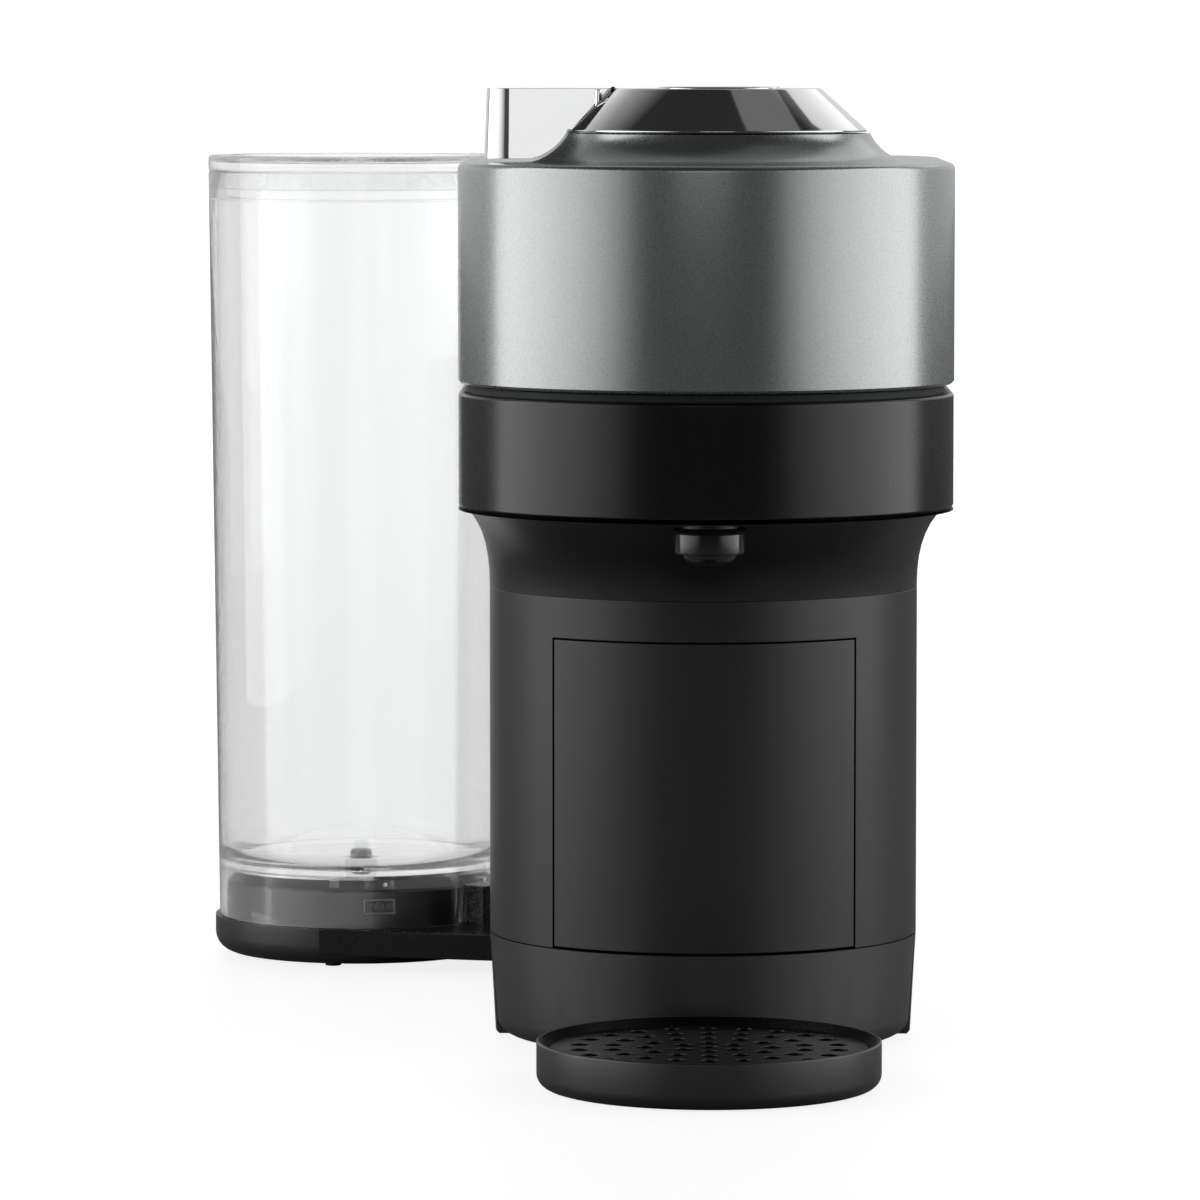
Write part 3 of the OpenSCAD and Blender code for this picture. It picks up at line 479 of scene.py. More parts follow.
def cast(name, base):
    """Cast metal: pitted skin, dull."""
    s = Shader(name, Metallic=0.9, Roughness=0.5)
    skin = s.grain(260, 5, roughness=0.65)
    s.set(
        Base_Color=s.shade(s.fit(skin, 0, 1), scaled(base, 0.8), base),
        Roughness=s.fit(skin, 0.42, 0.6),
        Normal=s.bump(skin, 0.05, 0.6),
    )
    return s.material


def clear_plastic(name, base, alpha=0.8, ior=1.46, coat=0.0, mirror=0.0):
    """Clear moulded plastic with a faint haze of fine marks."""
    s = Shader(name, Roughness=0.005, IOR=ior, Transmission_Weight=1.0, Alpha=alpha)
    s.surface.inputs["Coat Weight"].default_value = coat
    s.surface.inputs["Coat IOR"].default_value = 2.0
    s.surface.inputs["Metallic"].default_value = mirror
    haze = s.grain(18, 3)
    s.set(
        Base_Color=s.shade(s.fit(haze, 0, 1), scaled(base, 0.992), base),
        Roughness=s.fit(s.grain(240, 3, (1, 1, 0.2)), 0.0, 0.012),
        Normal=s.bump(haze, 0.01, 0.1),
    )
    return s.material


def circuit_board(name):
    """Green board: tracks as fine stripes and dots under the mask."""
    s = Shader(name, Roughness=0.35, IOR=1.5)
    upright = s.add("Mapping", {"Vector": s.place, "Rotation": (math.pi / 2, 0, 0)})
    tracks = s.add(
        "TexBrick",
        {
            "Vector": upright.outputs["Vector"],
            "Scale": 260.0, "Mortar Size": 0.06, "Color1": (0.010, 0.085, 0.030, 1),
            "Color2": (0.012, 0.10, 0.036, 1), "Mortar": (0.03, 0.20, 0.07, 1),
        },
    )
    s.set(
        Base_Color=tracks.outputs["Color"],
        Normal=s.bump(tracks.outputs["Fac"], 0.03, 0.5),
        Roughness=s.fit(s.grain(60, 2), 0.28, 0.42),
    )
    s.surface.inputs["Coat Weight"].default_value = 0.4
    return s.material


def make_finishes():
    """Every material slot of the record, and the extra finishes of single pieces."""
    black, gloss, dark = colour("cover_black"), colour("gloss_black"), colour("frame_black")
    FINISHES.update(
        satin_black=moulded("satin_black", black, 0.42, ior=1.7),
        gloss_black=moulded("gloss_black", gloss, 0.26, depth=0.001, spread=0.03, ior=1.55),
        frame_plastic=moulded("frame_plastic", dark, 0.5, depth=0.004),
        metallic_gray=painted_metal("metallic_gray", colour("lid_gray")),
        chrome_plate=plated("chrome_plate", colour("chrome")),
        brushed_grid=brushed("brushed_grid", colour("grid_steel"), 0.2, (0.05, 1, 1)),
        bearing_steel=brushed("bearing_steel", (0.62, 0.63, 0.64, 1), 0.24),
        pump_metal=brushed("pump_metal", (0.5, 0.5, 0.51, 1), 0.36),
        cast_aluminium=cast("cast_aluminium", (0.55, 0.56, 0.57, 1)),
        white_plastic=moulded("white_plastic", (0.80, 0.80, 0.79, 1), 0.4),
        hose_silicone=moulded("hose_silicone", (0.72, 0.74, 0.73, 1), 0.42, texture=1200, sheen=0.1),
        board_green=circuit_board("board_green"),
        component_black=moulded("component_black", (0.03, 0.03, 0.032, 1), 0.38, texture=1800),
        black_rubber=moulded(
            "black_rubber", (0.016, 0.016, 0.016, 1), 0.68, texture=1500, depth=0.008, sheen=0.15
        ),
        clear_tank=clear_plastic("clear_tank", colour("tank_clear")),
        tray_black=moulded("tray_black", black, 0.4, depth=0.002, ior=1.75),
        nozzle_black=moulded("nozzle_black", scaled(black, 1.8), 0.2, depth=0.001, coat=0.5, spread=0.03),
        # This gray is the level window's own colour, and it also colours the lever web, which is painted
        # reflection and painted shade in the gap by the cone.
        fitting_gray=moulded("fitting_gray", (0.30, 0.305, 0.31, 1), 0.3, depth=0.002, coat=0.3),
        sensor_gray=moulded("sensor_gray", (0.11, 0.11, 0.113, 1), 0.2, depth=0.001, coat=0.6),
        arm_black=moulded("arm_black", scaled(black, 0.3), 0.4, depth=0.002, ior=2.0),
        base_black=moulded("base_black", black, 0.42, ior=2.0),
        clear_floor=clear_plastic("clear_floor", (0.99, 0.99, 0.99, 1), 1.0, ior=1.8, coat=1.0, mirror=0.45),
        clear_fitting=clear_plastic("clear_fitting", (0.90, 0.92, 0.93, 1), 0.9),
    )


# Pieces


def head_y():
    return -mm("head_reach")


def on_tank():
    """From the tank's own place to its place on the arm."""
    turn = Matrix.Rotation(bpy.context.scene.machine_sizes.arm_angle, 4, "Z")
    pivot = Matrix.Translation((0, mm("body_length"), 0))
    return pivot @ turn @ Matrix.Translation((mm("swivel_reach"), 0, 0))


def disc(radius, z0, z1, x=0.0, y=0.0, steps=128):
    return turned([(0, z0), (radius, z0), (radius, z1), (0, z1)], x, y, steps)


def shoulder_solid(gap=0.0, top=0.0):
    """The concave shoulder under the lock, grown by a gap."""
    foot, neck, rise = mm("shoulder_foot"), mm("shoulder_neck"), mm("shoulder_height")
    z = mm("lid_top") + gap
    half_turn = math.atan2(rise, foot - neck)
    run = (foot - neck) / 2 / math.cos(half_turn) ** 2
    sunk = z - 1.5
    slope = [(0, sunk), (foot, sunk), (foot, z), (foot - run, z, run * 0.995), (neck, z + rise)]
    if top:
        slope.append((neck, z + rise + top))
    slope.append((0, z + rise + top))
    return turned(slope, mm("lock_offset"), head_y(), FINE)


class MACHINE_OT_finishes(bpy.types.Operator):
    """Make the finishes and put one on every frame node"""

    bl_idname = "machine.finishes"
    bl_label = "Finishes"

    def execute(self, context):
        make_finishes()
        for node, obj in frame["nodes"].items():
            obj.data.materials.clear()
            obj.data.materials.append(FINISHES[SLOT_OF[node]])
        return {"FINISHED"}


class MACHINE_OT_lid(bpy.types.Operator):
    """Build the lifting head's outer shell with its shoulder"""

    bl_idname = "machine.lid"
    bl_label = "Lid shell"

    def execute(self, context):
        r, z0, z1, wall = mm("head_radius"), mm("lid_bottom"), mm("lid_top"), mm("cover_wall")
        x, y, top = mm("lock_offset"), head_y(), mm("lid_top") + mm("shoulder_height")
        shell = pill(
            [(0, z1 - wall), (r - wall, z1 - wall, 1.2), (r - wall, z0), (r - 0.8, z0), (r, z0 + 0.8),
             (r, z1, mm("lid_round")), (0, z1)], y, 0, steps=80,
        )
        chamber, hub = 38, 30.4  # radii of the rooms for the brewing parts and the lock's hub
        pin_y, pin_z, knuckle, half_width = 63.5, z0 + 5, 6.2, 21.8  # room for the hinge
        rooms = [
            disc(chamber, z0, top - wall, x, y),
            disc(hub, z0, top + 9, x, y),
            rod((-half_width, pin_y, pin_z), (half_width, pin_y, pin_z), knuckle),
            block(-half_width, half_width, pin_y - 8, 90, 150, pin_z),
        ]
        put("lid_shell", shaped(shell, [shoulder_solid()], rooms), "head_shell", edge=0.12)
        return {"FINISHED"}


class MACHINE_OT_ring(bpy.types.Operator):
    """Build the black ring under the lid"""

    bl_idname = "machine.ring"
    bl_label = "Head ring"

    def execute(self, context):
        ring = node_copy("head_ring")
        put("head_ring_cover", ring, "head_ring", finish="gloss_black", edge=0.25, crease=30)
        return {"FINISHED"}


class MACHINE_OT_column(bpy.types.Operator):
    """Build the column's shell with its opening for the bin"""

    bl_idname = "machine.column"
    bl_label = "Column"

    def execute(self, context):
        r, wall, z0, z1 = mm("body_radius"), mm("cover_wall"), mm("seam_height"), mm("column_top")
        tube = pill([(r - wall, z0), (r, z0), (r, z1), (r - wall, z1)], 0, mm("body_length"), closed=True)
        x, top = mm("window_half"), mm("window_top")
        opening = block(-x, x, -90, -20, z0 - 1, top)
        put("column_cover", shaped(tube, (), [opening]), "column_shell", edge=0.25)
        return {"FINISHED"}


class MACHINE_OT_lock(bpy.types.Operator):
    """Build the chromed lock: cone, light ring, lever and brew button"""

    bl_idname = "machine.lock"
    bl_label = "Lock"

    @staticmethod
    def cone_gap(low, high):
        """The room that is kept free around the cone, from its foot to over its rim."""
        z0, z1, under, over = mm("cone_bottom"), mm("cone_top"), 6, 3
        slope = (low - high) / (z1 - z0)
        return turned(
            [(0, z0 - under), (low + under * slope, z0 - under), (high - over * slope, z1 + over),
             (0, z1 + over)],
            mm("lock_offset"), head_y(), FINE,
        )

    def execute(self, context):
        x, y = mm("lock_offset"), head_y()
        z0, z1, foot, rim = mm("cone_bottom"), mm("cone_top"), mm("cone_foot"), mm("cone_rim")
        r = mm("button_radius")
        bore, sill, groove = r + 0.4, r + 3.4, z1 - 2.2  # the light ring lies in the groove
        cone = turned(
            [(0, z0), (foot - 0.3, z0), (foot, z0 + 0.5, 0.25), (rim + 0.5, z1 - 0.45), (rim, z1, 0.3),
             (sill, z1, 0.3), (sill, groove), (bore, groove), (bore, z0 + 2), (0, z0 + 2)], x, y, 180,
        )
        put("lock_cone_plated", cone, "lock_cone")
        halo = turned(
            [(bore, groove), (sill - 0.1, groove), (sill - 0.1, z1 - 0.1, 0.4), (bore, z1 - 0.1, 0.4)],
            x, y, 128, True,
        )
        put("status_light", halo, "light_ring")
        low = z0 + 5.7
        button = turned(
            [(0, low), (r, low), (r, z1 + 0.5, 0.7), (r - 2.2, z1 + 0.42, 1.2), (r - 6, z1 + 0.1, 2),
             (0, z1 - 0.1)], x, y, 128,
        )
        put("brew_button_plated", button, "brew_button")

        t, reach = mm("lever_thickness"), mm("lever_reach")
        face, back, lean, draft = y + 1, y + t - 1, 3.4, 0.8  # front, rear, and what the top leans
        bar = block(x - reach, x - rim + 8, face, face + t, mm("lid_top") + 1, z1)
        corners = [e for e in bar.edges if all(v.co.x < x - reach + 1 for v in e.verts)
                   and abs(e.verts[0].co.z - e.verts[1].co.z) > 1]
        bmesh.ops.bevel(
            bar, geom=corners, offset=t / 2 - 0.02, offset_type="OFFSET", segments=20, profile=0.5,
            affect="EDGES", material=-1,
        )
        for vert in bar.verts:
            if vert.co.z > z1 - 1:
                to_face = (face + t / 2 - vert.co.y) / (t / 2)
                to_tip = (x - reach + t / 2 - vert.co.x) / (t / 2)
                vert.co.y += lean * min(1.0, max(0.0, to_face))
                vert.co.x += draft * min(1.0, max(0.0, to_tip))
        lever = shaped(bar, (), [shoulder_solid(0.8, 0.2), self.cone_gap(foot + 0.3, rim + 2.6)])
        put("lock_lever_plated", lever, "lock_lever", edge=0.4, crease=30)
        # The web is a gray solid set in the gap between the lever's end and the cone, where the cone shows the
        # lever's reflection and the gap's shade: painted reflection and painted shade, made as a piece.
        web = turned(
            [(foot + 0.2, z0), (foot + 0.3, z0), (rim + 2.5, z1 - 1.2), (rim + 0.6, z1 - 1.2)],
            x, y, FINE, True,
        )
        for at, way in (((0, face + 2, 0), (0, -1, 0)), ((0, back, 0), (0, 1, 0)), ((x, 0, 0), (1, 0, 0))):
            web = half(web, at, way)
        put("lock_lever_web", web, (), "lock", "chrome_plate", "fitting_gray")
        plate = turned(
            [(0, z1 - 5), (1.2, z1 - 5), (0.9, z1 - 0.3, 0.3), (0, z1 - 0.3)],
            x - rim - 5.2, y + 4.2, 32,
        )
        put("lock_lever_rib", plate, (), "lock", "chrome_plate")
        dot = turned(
            [(0, z1 - 1.6), (0.6, z1 - 1.6), (0.6, z1 + 0.4, 0.4), (0, z1 + 0.5)],
            x - rim - 1.2, y + 7.5, 32,
        )
        put("lock_index_dot", dot, (), "lock", "satin_black", "gloss_black")
        return {"FINISHED"}


class MACHINE_OT_nozzle(bpy.types.Operator):
    """Build the coffee nozzle with its stepped barrel and inner bowl"""

    bl_idname = "machine.nozzle"
    bl_label = "Nozzle"

    def execute(self, context):
        x, y = mm("spout_offset"), head_y() - 10
        r, z = mm("nozzle_radius"), mm("nozzle_bottom")
        lip, neck, flange = r - 1.35, r - 1.9, r + 2.7
        barrel = turned(
            [(lip, z), (r - 0.4, z, 0.15), (r, z + 0.4, 0.15), (r, z + 5.8, 0.3), (r - 1, z + 7.3, 0.2),
             (neck + 0.2, z + 7.3), (neck + 0.2, z + 7), (lip, z + 7)], x, y, 96, True,
        )
        put("nozzle_barrel", barrel, "nozzle", finish="nozzle_black")
        stem = turned(
            [(lip, z + 7.1), (neck, z + 7.1), (neck, z + 12), (flange, z + 12, 0.3), (flange, z + 14),
             (4, z + 14), (4, z + 10), (lip, z + 10)], x, y, 96, True,
        )
        put("nozzle_stem", stem, (), "body", "gloss_black", "satin_black")
        low, outer, inner = z - 3, r - 1.45, r - 3.05
        bowl = turned(
            [(2.5, low, 0.3), (4, low, 0.5), (6.6, low + 1, 1), (7.7, low + 2.6, 1), (outer, low + 4.5),
             (outer, z + 10), (inner, z + 10), (inner, low + 5), (2.5, low + 2)], x, y, 96, True,
        )
        put("nozzle_bowl", bowl, "nozzle_tip", finish="nozzle_black")
        return {"FINISHED"}


class MACHINE_OT_tray(bpy.types.Operator):
    """Build the drip tray and its perforated grid"""

    bl_idname = "machine.tray"
    bl_label = "Tray"

    def execute(self, context):
        r, h = mm("tray_radius"), mm("tray_height")
        x, y = mm("spout_offset"), head_y() - mm("tray_forward")
        seat, ledge = r - 3.4, h - 4.6
        cup = turned(
            [(0, 0), (r, 0, 4), (r, h, 0.5), (r - 1.2, h, 0.3), (seat, h - 2.2, 0.3), (seat, ledge),
             (seat - 1.5, ledge), (seat - 1.5, 4.5), (seat - 4, 2, 1.5), (0, 2)], x, y, FINE,
        )
        slot = block(-18.4, 18.4, y + r - 4.4, 0, 2.7, 7.3)
        put("tray_cup", shaped(cup, (), [slot]), "drip_tray", finish="tray_black")
        liner = turned(
            [(r - 1.3, h - 0.05), (r - 1.2, h - 0.05), (seat + 0.05, h - 2.2), (seat, h - 4.5),
             (seat - 0.1, h - 4.5), (seat - 0.1, h - 2.25)], x, y, FINE, True,
        )
        put("tray_liner", liner, (), "tray", "satin_black", "gloss_black")
        low, seam, high = h - 5, h - 2.6, h - 1  # the seam parts the plated skin from the dark core
        skin, core = (
            shaped(node_copy("drip_grid"), (), [block(x - r, x + r, y - r, y + r, *away)])
            for away in ((low, seam), (seam, high))
        )
        put("tray_grid", skin, "drip_grid", edge=0.04, crease=50)
        put("tray_grid_core", core, (), "grid", "brushed_grid", "gloss_black", crease=50)
        return {"FINISHED"}


class MACHINE_OT_tank(bpy.types.Operator):
    """Build the clear tank with its skirt, floor, valve and lid"""

    bl_idname = "machine.tank"
    bl_label = "Tank"

    def execute(self, context):
        foot, rim, wall = mm("tank_radius"), mm("tank_rim_radius"), mm("tank_wall")
        z, top, band = mm("tank_floor"), mm("tank_rim"), 13.5
        slope = (rim - foot) / (top - z)
        bore, mouth, skirt = foot - wall, rim - wall, 12.5
        plinth = bore - 0.5
        floor_r = plinth - 3.5
        vessel = turned(
            [(bore, skirt), (foot - 0.2, skirt, 0.4), (foot, z), (rim, top, 0.5), (mouth, top, 0.5),
             (rim - slope * band - wall, top - band, 0.4), (bore, z + 6, 2), (bore - 3, z + 2.4, 2),
             (floor_r, z + 2.4), (floor_r, z), (bore, z)], 0, 0, FINE, True,
        )
        notch = block(-mm("swivel_reach") - 18, -plinth + 3, -6, 6, 0, z - 1.5)
        place = on_tank()
        put("tank_vessel", moved(shaped(vessel, (), [notch]), place), "water_tank")
        floor = turned([(6, z), (floor_r, z), (floor_r, z + 0.9), (6, z + 0.9)], 0, 0, FINE, True)
        front = Matrix.Rotation(WINDOW_AIM - context.scene.machine_sizes.arm_angle, 4, "Z")
        wide_tab = shaped(
            block(plinth - 5, plinth - 0.4, -4.5, 4.5, z - 3, z - 0.1), (),
            [block(plinth - 3.8, plinth, -3.2, 2.4, z - 2.1, z - 1)],
        )
        small_tab = block(plinth - 3, plinth - 1, -15.5, -12.5, z - 2.2, z - 0.1)
        plate = [moved(bm, place) for bm in (floor, moved(wide_tab, front), moved(small_tab, front))]
        put("tank_floor_plate", plate, (), "tank", "clear_tank", "clear_floor")
        plug, low, high = mouth - 0.5, top + 0.2, top + 5
        cover = turned(
            [(0, low), (plug - 2, low), (plug - 2, low - 6), (plug, low - 6, 0.5), (plug, low), (rim, low, 0.3),
             (rim, high, 0.8), (rim - 5, high, 0.6), (rim - 7, high - 2.4, 1.2), (0, high - 2.4)],
            0, 0, FINE,
        )
        put("tank_cover", moved(cover, place), "tank_lid")
        stop, under = top - 8.6, top - 9.2
        ledge = turned(
            [(mouth - 3.2, under), (mouth + 0.4, under), (mouth + 0.4, stop), (mouth - 3.2, stop)],
            0, 0, FINE, True,
        )
        put("tank_stop_ledge", moved(ledge, place), (), "tank", "clear_tank", "clear_fitting")
        hat = turned(
            [(0, z - 0.2), (5.2, z - 0.2), (5.4, z + 0.8, 0.3), (3.7, z + 1.3, 0.3),
             (3.2, z + 4.3, 0.8), (0, z + 4.5)], 0, 0, 64,
        )
        put("tank_valve_hat", moved(hat, place), "tank_valve")
        neck = turned([(2.6, z - 6.2), (5.9, z - 6.2), (5.9, z - 0.3), (2.6, z - 0.3)], 0, 0, 64, True)
        put("tank_valve_neck", moved(neck, place), (), "tank", "gloss_black", "clear_fitting")
        return {"FINISHED"}


class MACHINE_OT_arm(bpy.types.Operator):
    """Build the tank's arm with its dish, plinth and level window"""

    bl_idname = "machine.arm"
    bl_label = "Tank arm"

    def execute(self, context):
        plinth = mm("tank_radius") - mm("tank_wall") - 0.5
        centre, level = on_tank() @ Vector((0, 0, 0)), mm("tank_floor") - 8.4
        out = Vector((math.cos(WINDOW_AIM), math.sin(WINDOW_AIM), 0))
        side = Vector((-out.y, out.x, 0))
        turn = Matrix.Translation((centre.x, centre.y, level)) @ Matrix.Rotation(WINDOW_AIM, 4, "Z")
        pocket = moved(block(plinth - 2.2, plinth + 1, -5, 5, -2.4, 2.4), turn)
        arm = shaped(node_copy("tank_arm"), (), [pocket])
        put("tank_arm_cover", arm, "tank_arm", finish="arm_black", edge=0.2, crease=32)
        # The fairing starts clear of the body and ends in tangents to the dish.
        reach, dish = mm("swivel_reach"), mm("tank_radius") + 1.2
        inner, flank, tail, under, height = 62.4, 24.0, 20, 4.15, 8.1
        far = math.hypot(reach - inner, flank)
        lean = math.asin(dish / far) - math.atan2(flank, reach - inner)
        run = math.sqrt(far ** 2 - dish ** 2)
        touch = (inner + run * math.cos(lean), flank + run * math.sin(lean))
        outline = [
            (inner, -flank), (touch[0], -touch[1]), (reach - 6, -tail), (reach - 6, tail), touch,
            (inner, flank),
        ]
        fairing = bmesh.new()
        base = fairing.faces.new([fairing.verts.new((u, w, under)) for u, w in outline])
        top = bmesh.ops.extrude_face_region(fairing, geom=[base])["geom"]
        raised = [v for v in top if isinstance(v, bmesh.types.BMVert)]
        bmesh.ops.translate(fairing, verts=raised, vec=(0, 0, height))
        latch_end = reach - mm("tank_radius") + 2
        room = block(latch_end - 9.3, latch_end + 0.3, -5.3, 5.3, 5.8, 30)
        fairing = shaped(close_up(fairing), (), [room, disc(40, 0, 20, reach)])
        hinge = on_tank() @ Matrix.Translation((-reach, 0, 0))
        put("tank_arm_fairing", moved(fairing, hinge), (), "arm", "satin_black", "gloss_black", edge=0.3)
        start = Vector((centre.x, centre.y, level)) + out * (plinth - 2.1)
        rim = shaped(
            block(plinth - 2.1, plinth - 0.1, -4.9, 4.9, -2.3, 2.3), (),
            [block(plinth - 3, plinth + 1, -4.5, 4.5, -1.9, 1.9)],
        )
        put("level_window", moved(rim, turn), (), "arm", "satin_black", "fitting_gray", edge=0.05)
        barrel = rod(start - out * 0.1, start + out * 1.9, 2.2, 40, 1.7)
        sensor = shaped(barrel, (), [rod(start + out, start + out * 3, 1.1, 32)])
        bulb = rod(start + side * 2.9, start + side * 2.9 + out * 1.4, 1.0, 24)
        put("level_sensor", [sensor, bulb], (), "arm", "satin_black", "sensor_gray", edge=0.15)
        return {"FINISHED"}


SMOOTHED = {
    # node: (name, eased edge, crease angle)
    "base_cover": ("base_cover_moulding", 0.0, 30),
    "head_flare": ("head_flare_moulding", 0.0, 42),
    "capsule_bin": ("capsule_bin_moulding", 0.3, 30),
    "deck_cover": ("deck_cover_moulding", 0.0, 30),
    "chassis": ("chassis_moulding", 0.3, 30),
    "coffee_collector": ("collector_moulding", 0.2, 30),
    "capsule_holder": ("capsule_holder_moulding", 0.15, 30),
    "holder_bearing": ("holder_bearing_race", 0.3, 30),
    "capsule_chute": ("capsule_chute_moulding", 0.2, 30),
    "pump": ("pump_body", 0.3, 30),
    "pump_mounts": ("pump_mount_rubbers", 0.3, 30),
    "heater": ("heater_block", 0.4, 30),
    "flow_meter": ("flow_meter_body", 0.3, 30),
    "inlet_hose": ("inlet_hose_tube", 0.0, 50),
    "pump_hose": ("pump_hose_tube", 0.0, 50),
    "heater_hose": ("heater_hose_tube", 0.0, 50),
    "injector_hose": ("injector_hose_tube", 0.0, 50),
    "button_spring": ("button_spring_coil", 0.0, 60),
    "board_parts": ("board_components", 0.3, 30),
    "cord_gland": ("cord_gland_sleeve", 0.2, 30),
    "rubber_feet": ("rubber_foot_pads", 0.3, 30),
    "base_screws": ("base_screw_set", 0.1, 30),
    "hinge_bracket": ("hinge_bracket_lug", 0.4, 30),
    "lid_gasket": ("lid_gasket_strip", 0.3, 30),
    "lid_switch": ("lid_switch_body", 0.2, 30),
    "swivel_post": ("swivel_post_turned", 0.2, 30),
    "post_seal": ("post_seal_ring", 0.2, 30),
    "head_liner": ("head_liner_moulding", 0.2, 30),
    "bearing_housing": ("bearing_housing_cast", 0.4, 30),
    "injector_bearings": ("injector_bearing_races", 0.2, 30),
    "lid_motor": ("lid_motor_can", 0.4, 30),
    "drive_belt": ("drive_belt_loop", 0.2, 30),
    "code_reader": ("code_reader_block", 0.3, 30),
    "injector_head": ("injector_head_plate", 0.1, 30),
    "rotor_pulley": ("rotor_pulley_wheel", 0.3, 30),
    "motor_pulley": ("motor_pulley_wheel", 0.3, 30),
    "chamber_seal": ("chamber_seal_ring", 0.2, 30),
    "lock_hub": ("lock_hub_ring", 0.2, 30),
    "dock_latch": ("dock_latch_tab", 0.4, 30),
    "dock_socket": ("dock_socket_cup", 0.2, 30),
    "arm_feet": ("arm_foot_pegs", 0.3, 30),
}

# node: a finish other than its slot's own
DRESSED = {"dock_latch": "gloss_black", "arm_feet": "gloss_black", "base_cover": "base_black"}


class MACHINE_OT_mouldings(bpy.types.Operator):
    """Give the other pieces smooth curves and eased edges"""

    bl_idname = "machine.mouldings"
    bl_label = "Other mouldings"

    def execute(self, context):
        for node, (name, edge, crease) in SMOOTHED.items():
            put(name, node_copy(node), node, finish=DRESSED.get(node), edge=edge, crease=crease)
        return {"FINISHED"}


def soft_box(name, place, target, width, height, power, fade=None):
    """A rectangular light; fade gives its strength at its left and right edges."""
    light = bpy.data.lights.new(name, "AREA")
    light.shape = "RECTANGLE"
    light.size, light.size_y = width, height
    light.energy = power
    if fade:
        light.use_nodes = True
        nodes, links = light.node_tree.nodes, light.node_tree.links
        across = nodes.new("ShaderNodeSeparateXYZ")
        ramp = nodes.new("ShaderNodeMapRange")
        ramp.inputs["To Min"].default_value, ramp.inputs["To Max"].default_value = fade
        links.new(nodes.new("ShaderNodeNewGeometry").outputs["Parametric"], across.inputs[0])
        links.new(across.outputs["X"], ramp.inputs["Value"])
        links.new(ramp.outputs["Result"], nodes["Emission"].inputs["Strength"])
    obj = bpy.data.objects.new(name, light)
    aim = (Vector(target) - Vector(place)).to_track_quat("-Z", "Y")
    obj.matrix_world = Matrix.Translation(place) @ aim.to_matrix().to_4x4()
    bpy.context.scene.collection.objects.link(obj)


def spread(nodes, links, source, start, end, low, high):
    """A node that maps a value from one range to another."""
    ramp = nodes.new("ShaderNodeMapRange")
    for key, value in (("From Min", start), ("From Max", end), ("To Min", low), ("To Max", high)):
        ramp.inputs[key].default_value = value
    links.new(source, ramp.inputs["Value"])
    return ramp.outputs["Result"]


def surround(scene):
    """A world that the eye sees white, with a calmer front and top for reflections."""
    world = bpy.data.worlds.new("surround")
    scene.world = world
    world.use_nodes = True
    nodes, links = world.node_tree.nodes, world.node_tree.links
    split = nodes.new("ShaderNodeSeparateXYZ")
    links.new(nodes.new("ShaderNodeTexCoord").outputs["Generated"], split.inputs[0])
    seen, both = nodes.new("ShaderNodeMath"), nodes.new("ShaderNodeMath")
    seen.operation, both.operation = "MAXIMUM", "MULTIPLY"
    path = nodes.new("ShaderNodeLightPath")
    links.new(path.outputs["Is Camera Ray"], seen.inputs[0])
    links.new(path.outputs["Is Transmission Ray"], seen.inputs[1])
    links.new(spread(nodes, links, split.outputs["Y"], 0.30, 0.65, 0.06, 0.75), both.inputs[0])
    links.new(spread(nodes, links, split.outputs["Z"], 0.30, 0.60, 1.0, 0.42), both.inputs[1])
    mix = nodes.new("ShaderNodeMix")
    links.new(seen.outputs[0], mix.inputs[0])
    links.new(both.outputs[0], mix.inputs[2])
    mix.inputs[3].default_value = 1.0
    back = nodes["Background"]
    back.inputs["Color"].default_value = (1, 1, 1, 1)
    links.new(mix.outputs[0], back.inputs["Strength"])


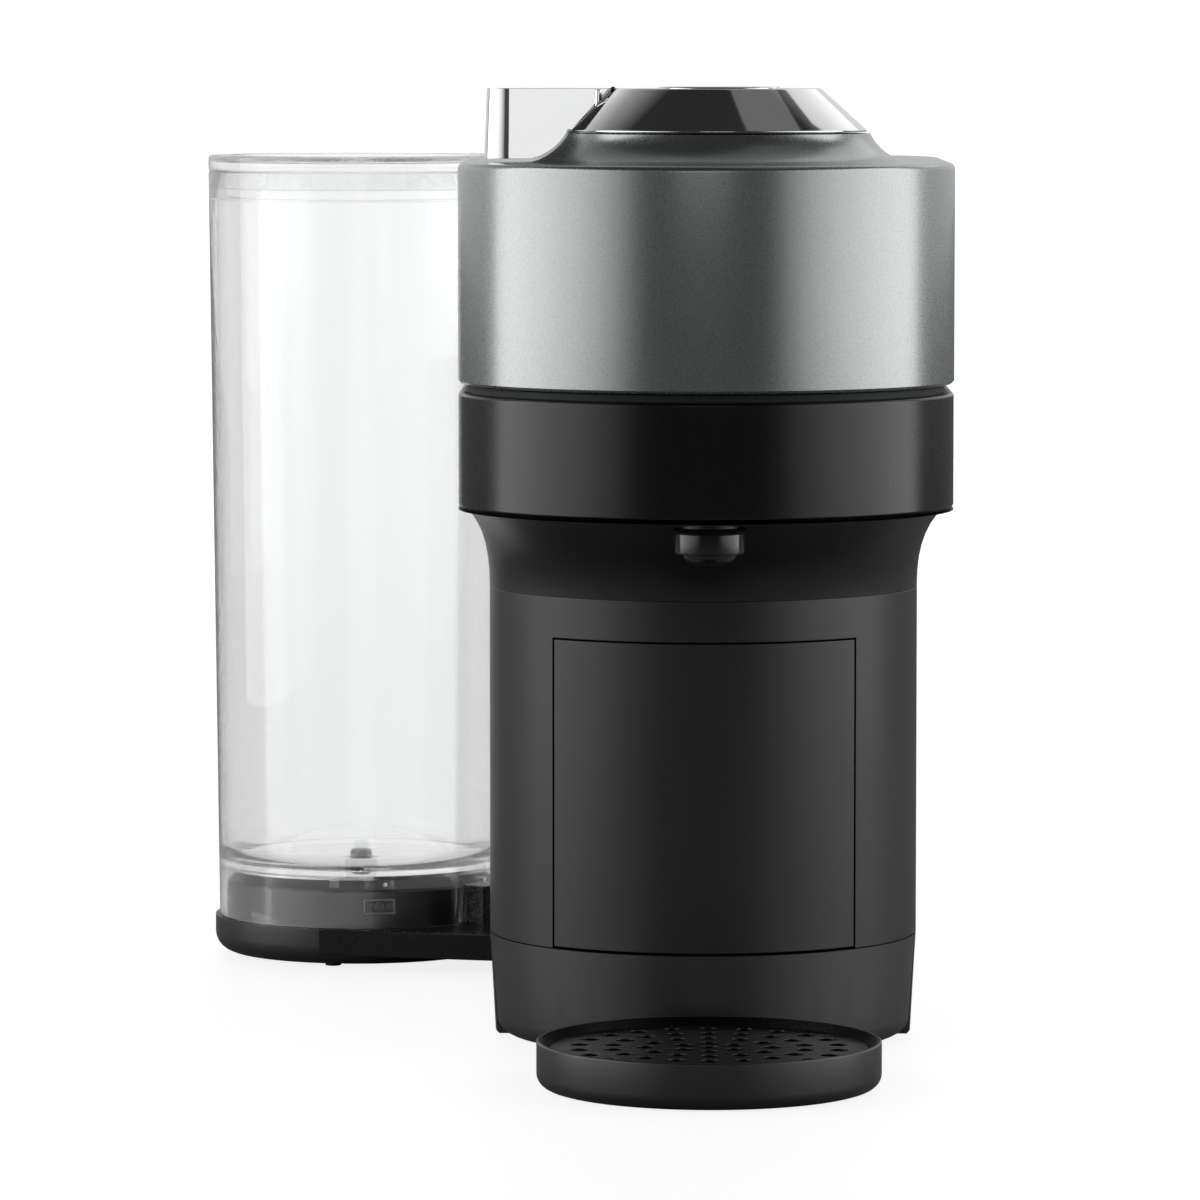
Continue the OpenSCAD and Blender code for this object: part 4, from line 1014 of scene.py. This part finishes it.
class MACHINE_OT_studio(bpy.types.Operator):
    """Build the floor, the surround, the soft boxes and the camera"""

    bl_idname = "machine.studio"
    bl_label = "Studio"

    def execute(self, context):
        scene = context.scene
        bm = bmesh.new()
        bmesh.ops.create_grid(bm, x_segments=1, y_segments=1, size=30)
        bmesh.ops.translate(bm, verts=bm.verts[:], vec=(0, 0, -0.0001))
        mesh = bpy.data.meshes.new("counter")
        bm.to_mesh(mesh)
        bm.free()
        counter = bpy.data.objects.new("counter", mesh)
        scene.collection.objects.link(counter)
        pale = Shader("counter_white", Roughness=0.55, Base_Color=colour("floor"))
        rays = pale.add("LightPath", {}).outputs
        seen = pale.add(
            "Math", {0: rays["Is Camera Ray"], 1: rays["Is Transmission Ray"]}, operation="MAXIMUM"
        ).outputs[0]
        away = pale.add("VectorMath", {0: pale.place}, operation="LENGTH").outputs["Value"]
        glow = pale.add("Math", {0: pale.fit(away, 0.84, 1.0, 0.5, 1.8), 1: seen}, operation="MULTIPLY")
        pale.set(Emission_Color=(1, 1, 1, 1), Emission_Strength=glow.outputs[0])
        mesh.materials.append(pale.material)

        surround(scene)
        middle = (0, -0.05, 0.16)
        soft_box("left_box", (-1.15, -0.82, 0.55), (0, -0.82, 0.45), 2.36, 1.3, 12, (1.9, 0.05))
        soft_box("right_box", (1.15, -0.82, 0.55), (0, -0.82, 0.45), 2.36, 1.3, 11.5, (0.05, 1.9))
        soft_box("rear_right_box", (0.66, 0.92, 1.10), middle, 0.8, 0.8, 1.2)
        soft_box("top_right_card", (0.33, 0.1, 1.27), (0, -0.1, 0.27), 0.7, 0.5, 0.15)
        soft_box("front_card", (-0.05, -2.0, 0.86), (0, -0.1, 0.27), 0.9, 0.5, 1.35)

        lens = bpy.data.cameras.new("camera")
        lens.lens, lens.sensor_width = 210, 36
        lens.clip_start, lens.clip_end = 0.1, 100
        eye = bpy.data.objects.new("camera", lens)
        eye.location = (-0.01418, -2.043, 0.287)
        eye.rotation_euler = (math.radians(85.51), 0, math.radians(0.45))
        scene.collection.objects.link(eye)
        scene.camera = eye
        scene.view_settings.view_transform = "Standard"
        return {"FINISHED"}


class MACHINE_PT_panel(bpy.types.Panel):
    bl_idname = "MACHINE_PT_panel"
    bl_label = "Pod coffee machine"
    bl_space_type = "VIEW_3D"
    bl_region_type = "UI"
    bl_category = "Machine"

    def draw(self, context):
        for group in (context.scene.machine_sizes, context.scene.machine_colours):
            box = self.layout.box()
            for key in group.__annotations__:
                box.prop(group, key)
        for operator in OPERATORS:
            self.layout.operator(operator.bl_idname)


OPERATORS = (
    MACHINE_OT_finishes, MACHINE_OT_lid, MACHINE_OT_ring, MACHINE_OT_column, MACHINE_OT_lock,
    MACHINE_OT_nozzle, MACHINE_OT_tray, MACHINE_OT_tank, MACHINE_OT_arm, MACHINE_OT_mouldings,
    MACHINE_OT_studio,
)
CLASSES = (MachineSizes, MachineColours, *OPERATORS, MACHINE_PT_panel)


def register():
    for cls in CLASSES:
        bpy.utils.register_class(cls)
    bpy.types.Scene.machine_sizes = bpy.props.PointerProperty(type=MachineSizes)
    bpy.types.Scene.machine_colours = bpy.props.PointerProperty(type=MachineColours)


def unregister():
    del bpy.types.Scene.machine_sizes
    del bpy.types.Scene.machine_colours
    for cls in reversed(CLASSES):
        bpy.utils.unregister_class(cls)


def main():
    register()
    for operator in OPERATORS:
        group, name = operator.bl_idname.split(".")
        getattr(getattr(bpy.ops, group), name)()


if __name__ == "__main__":
    main()
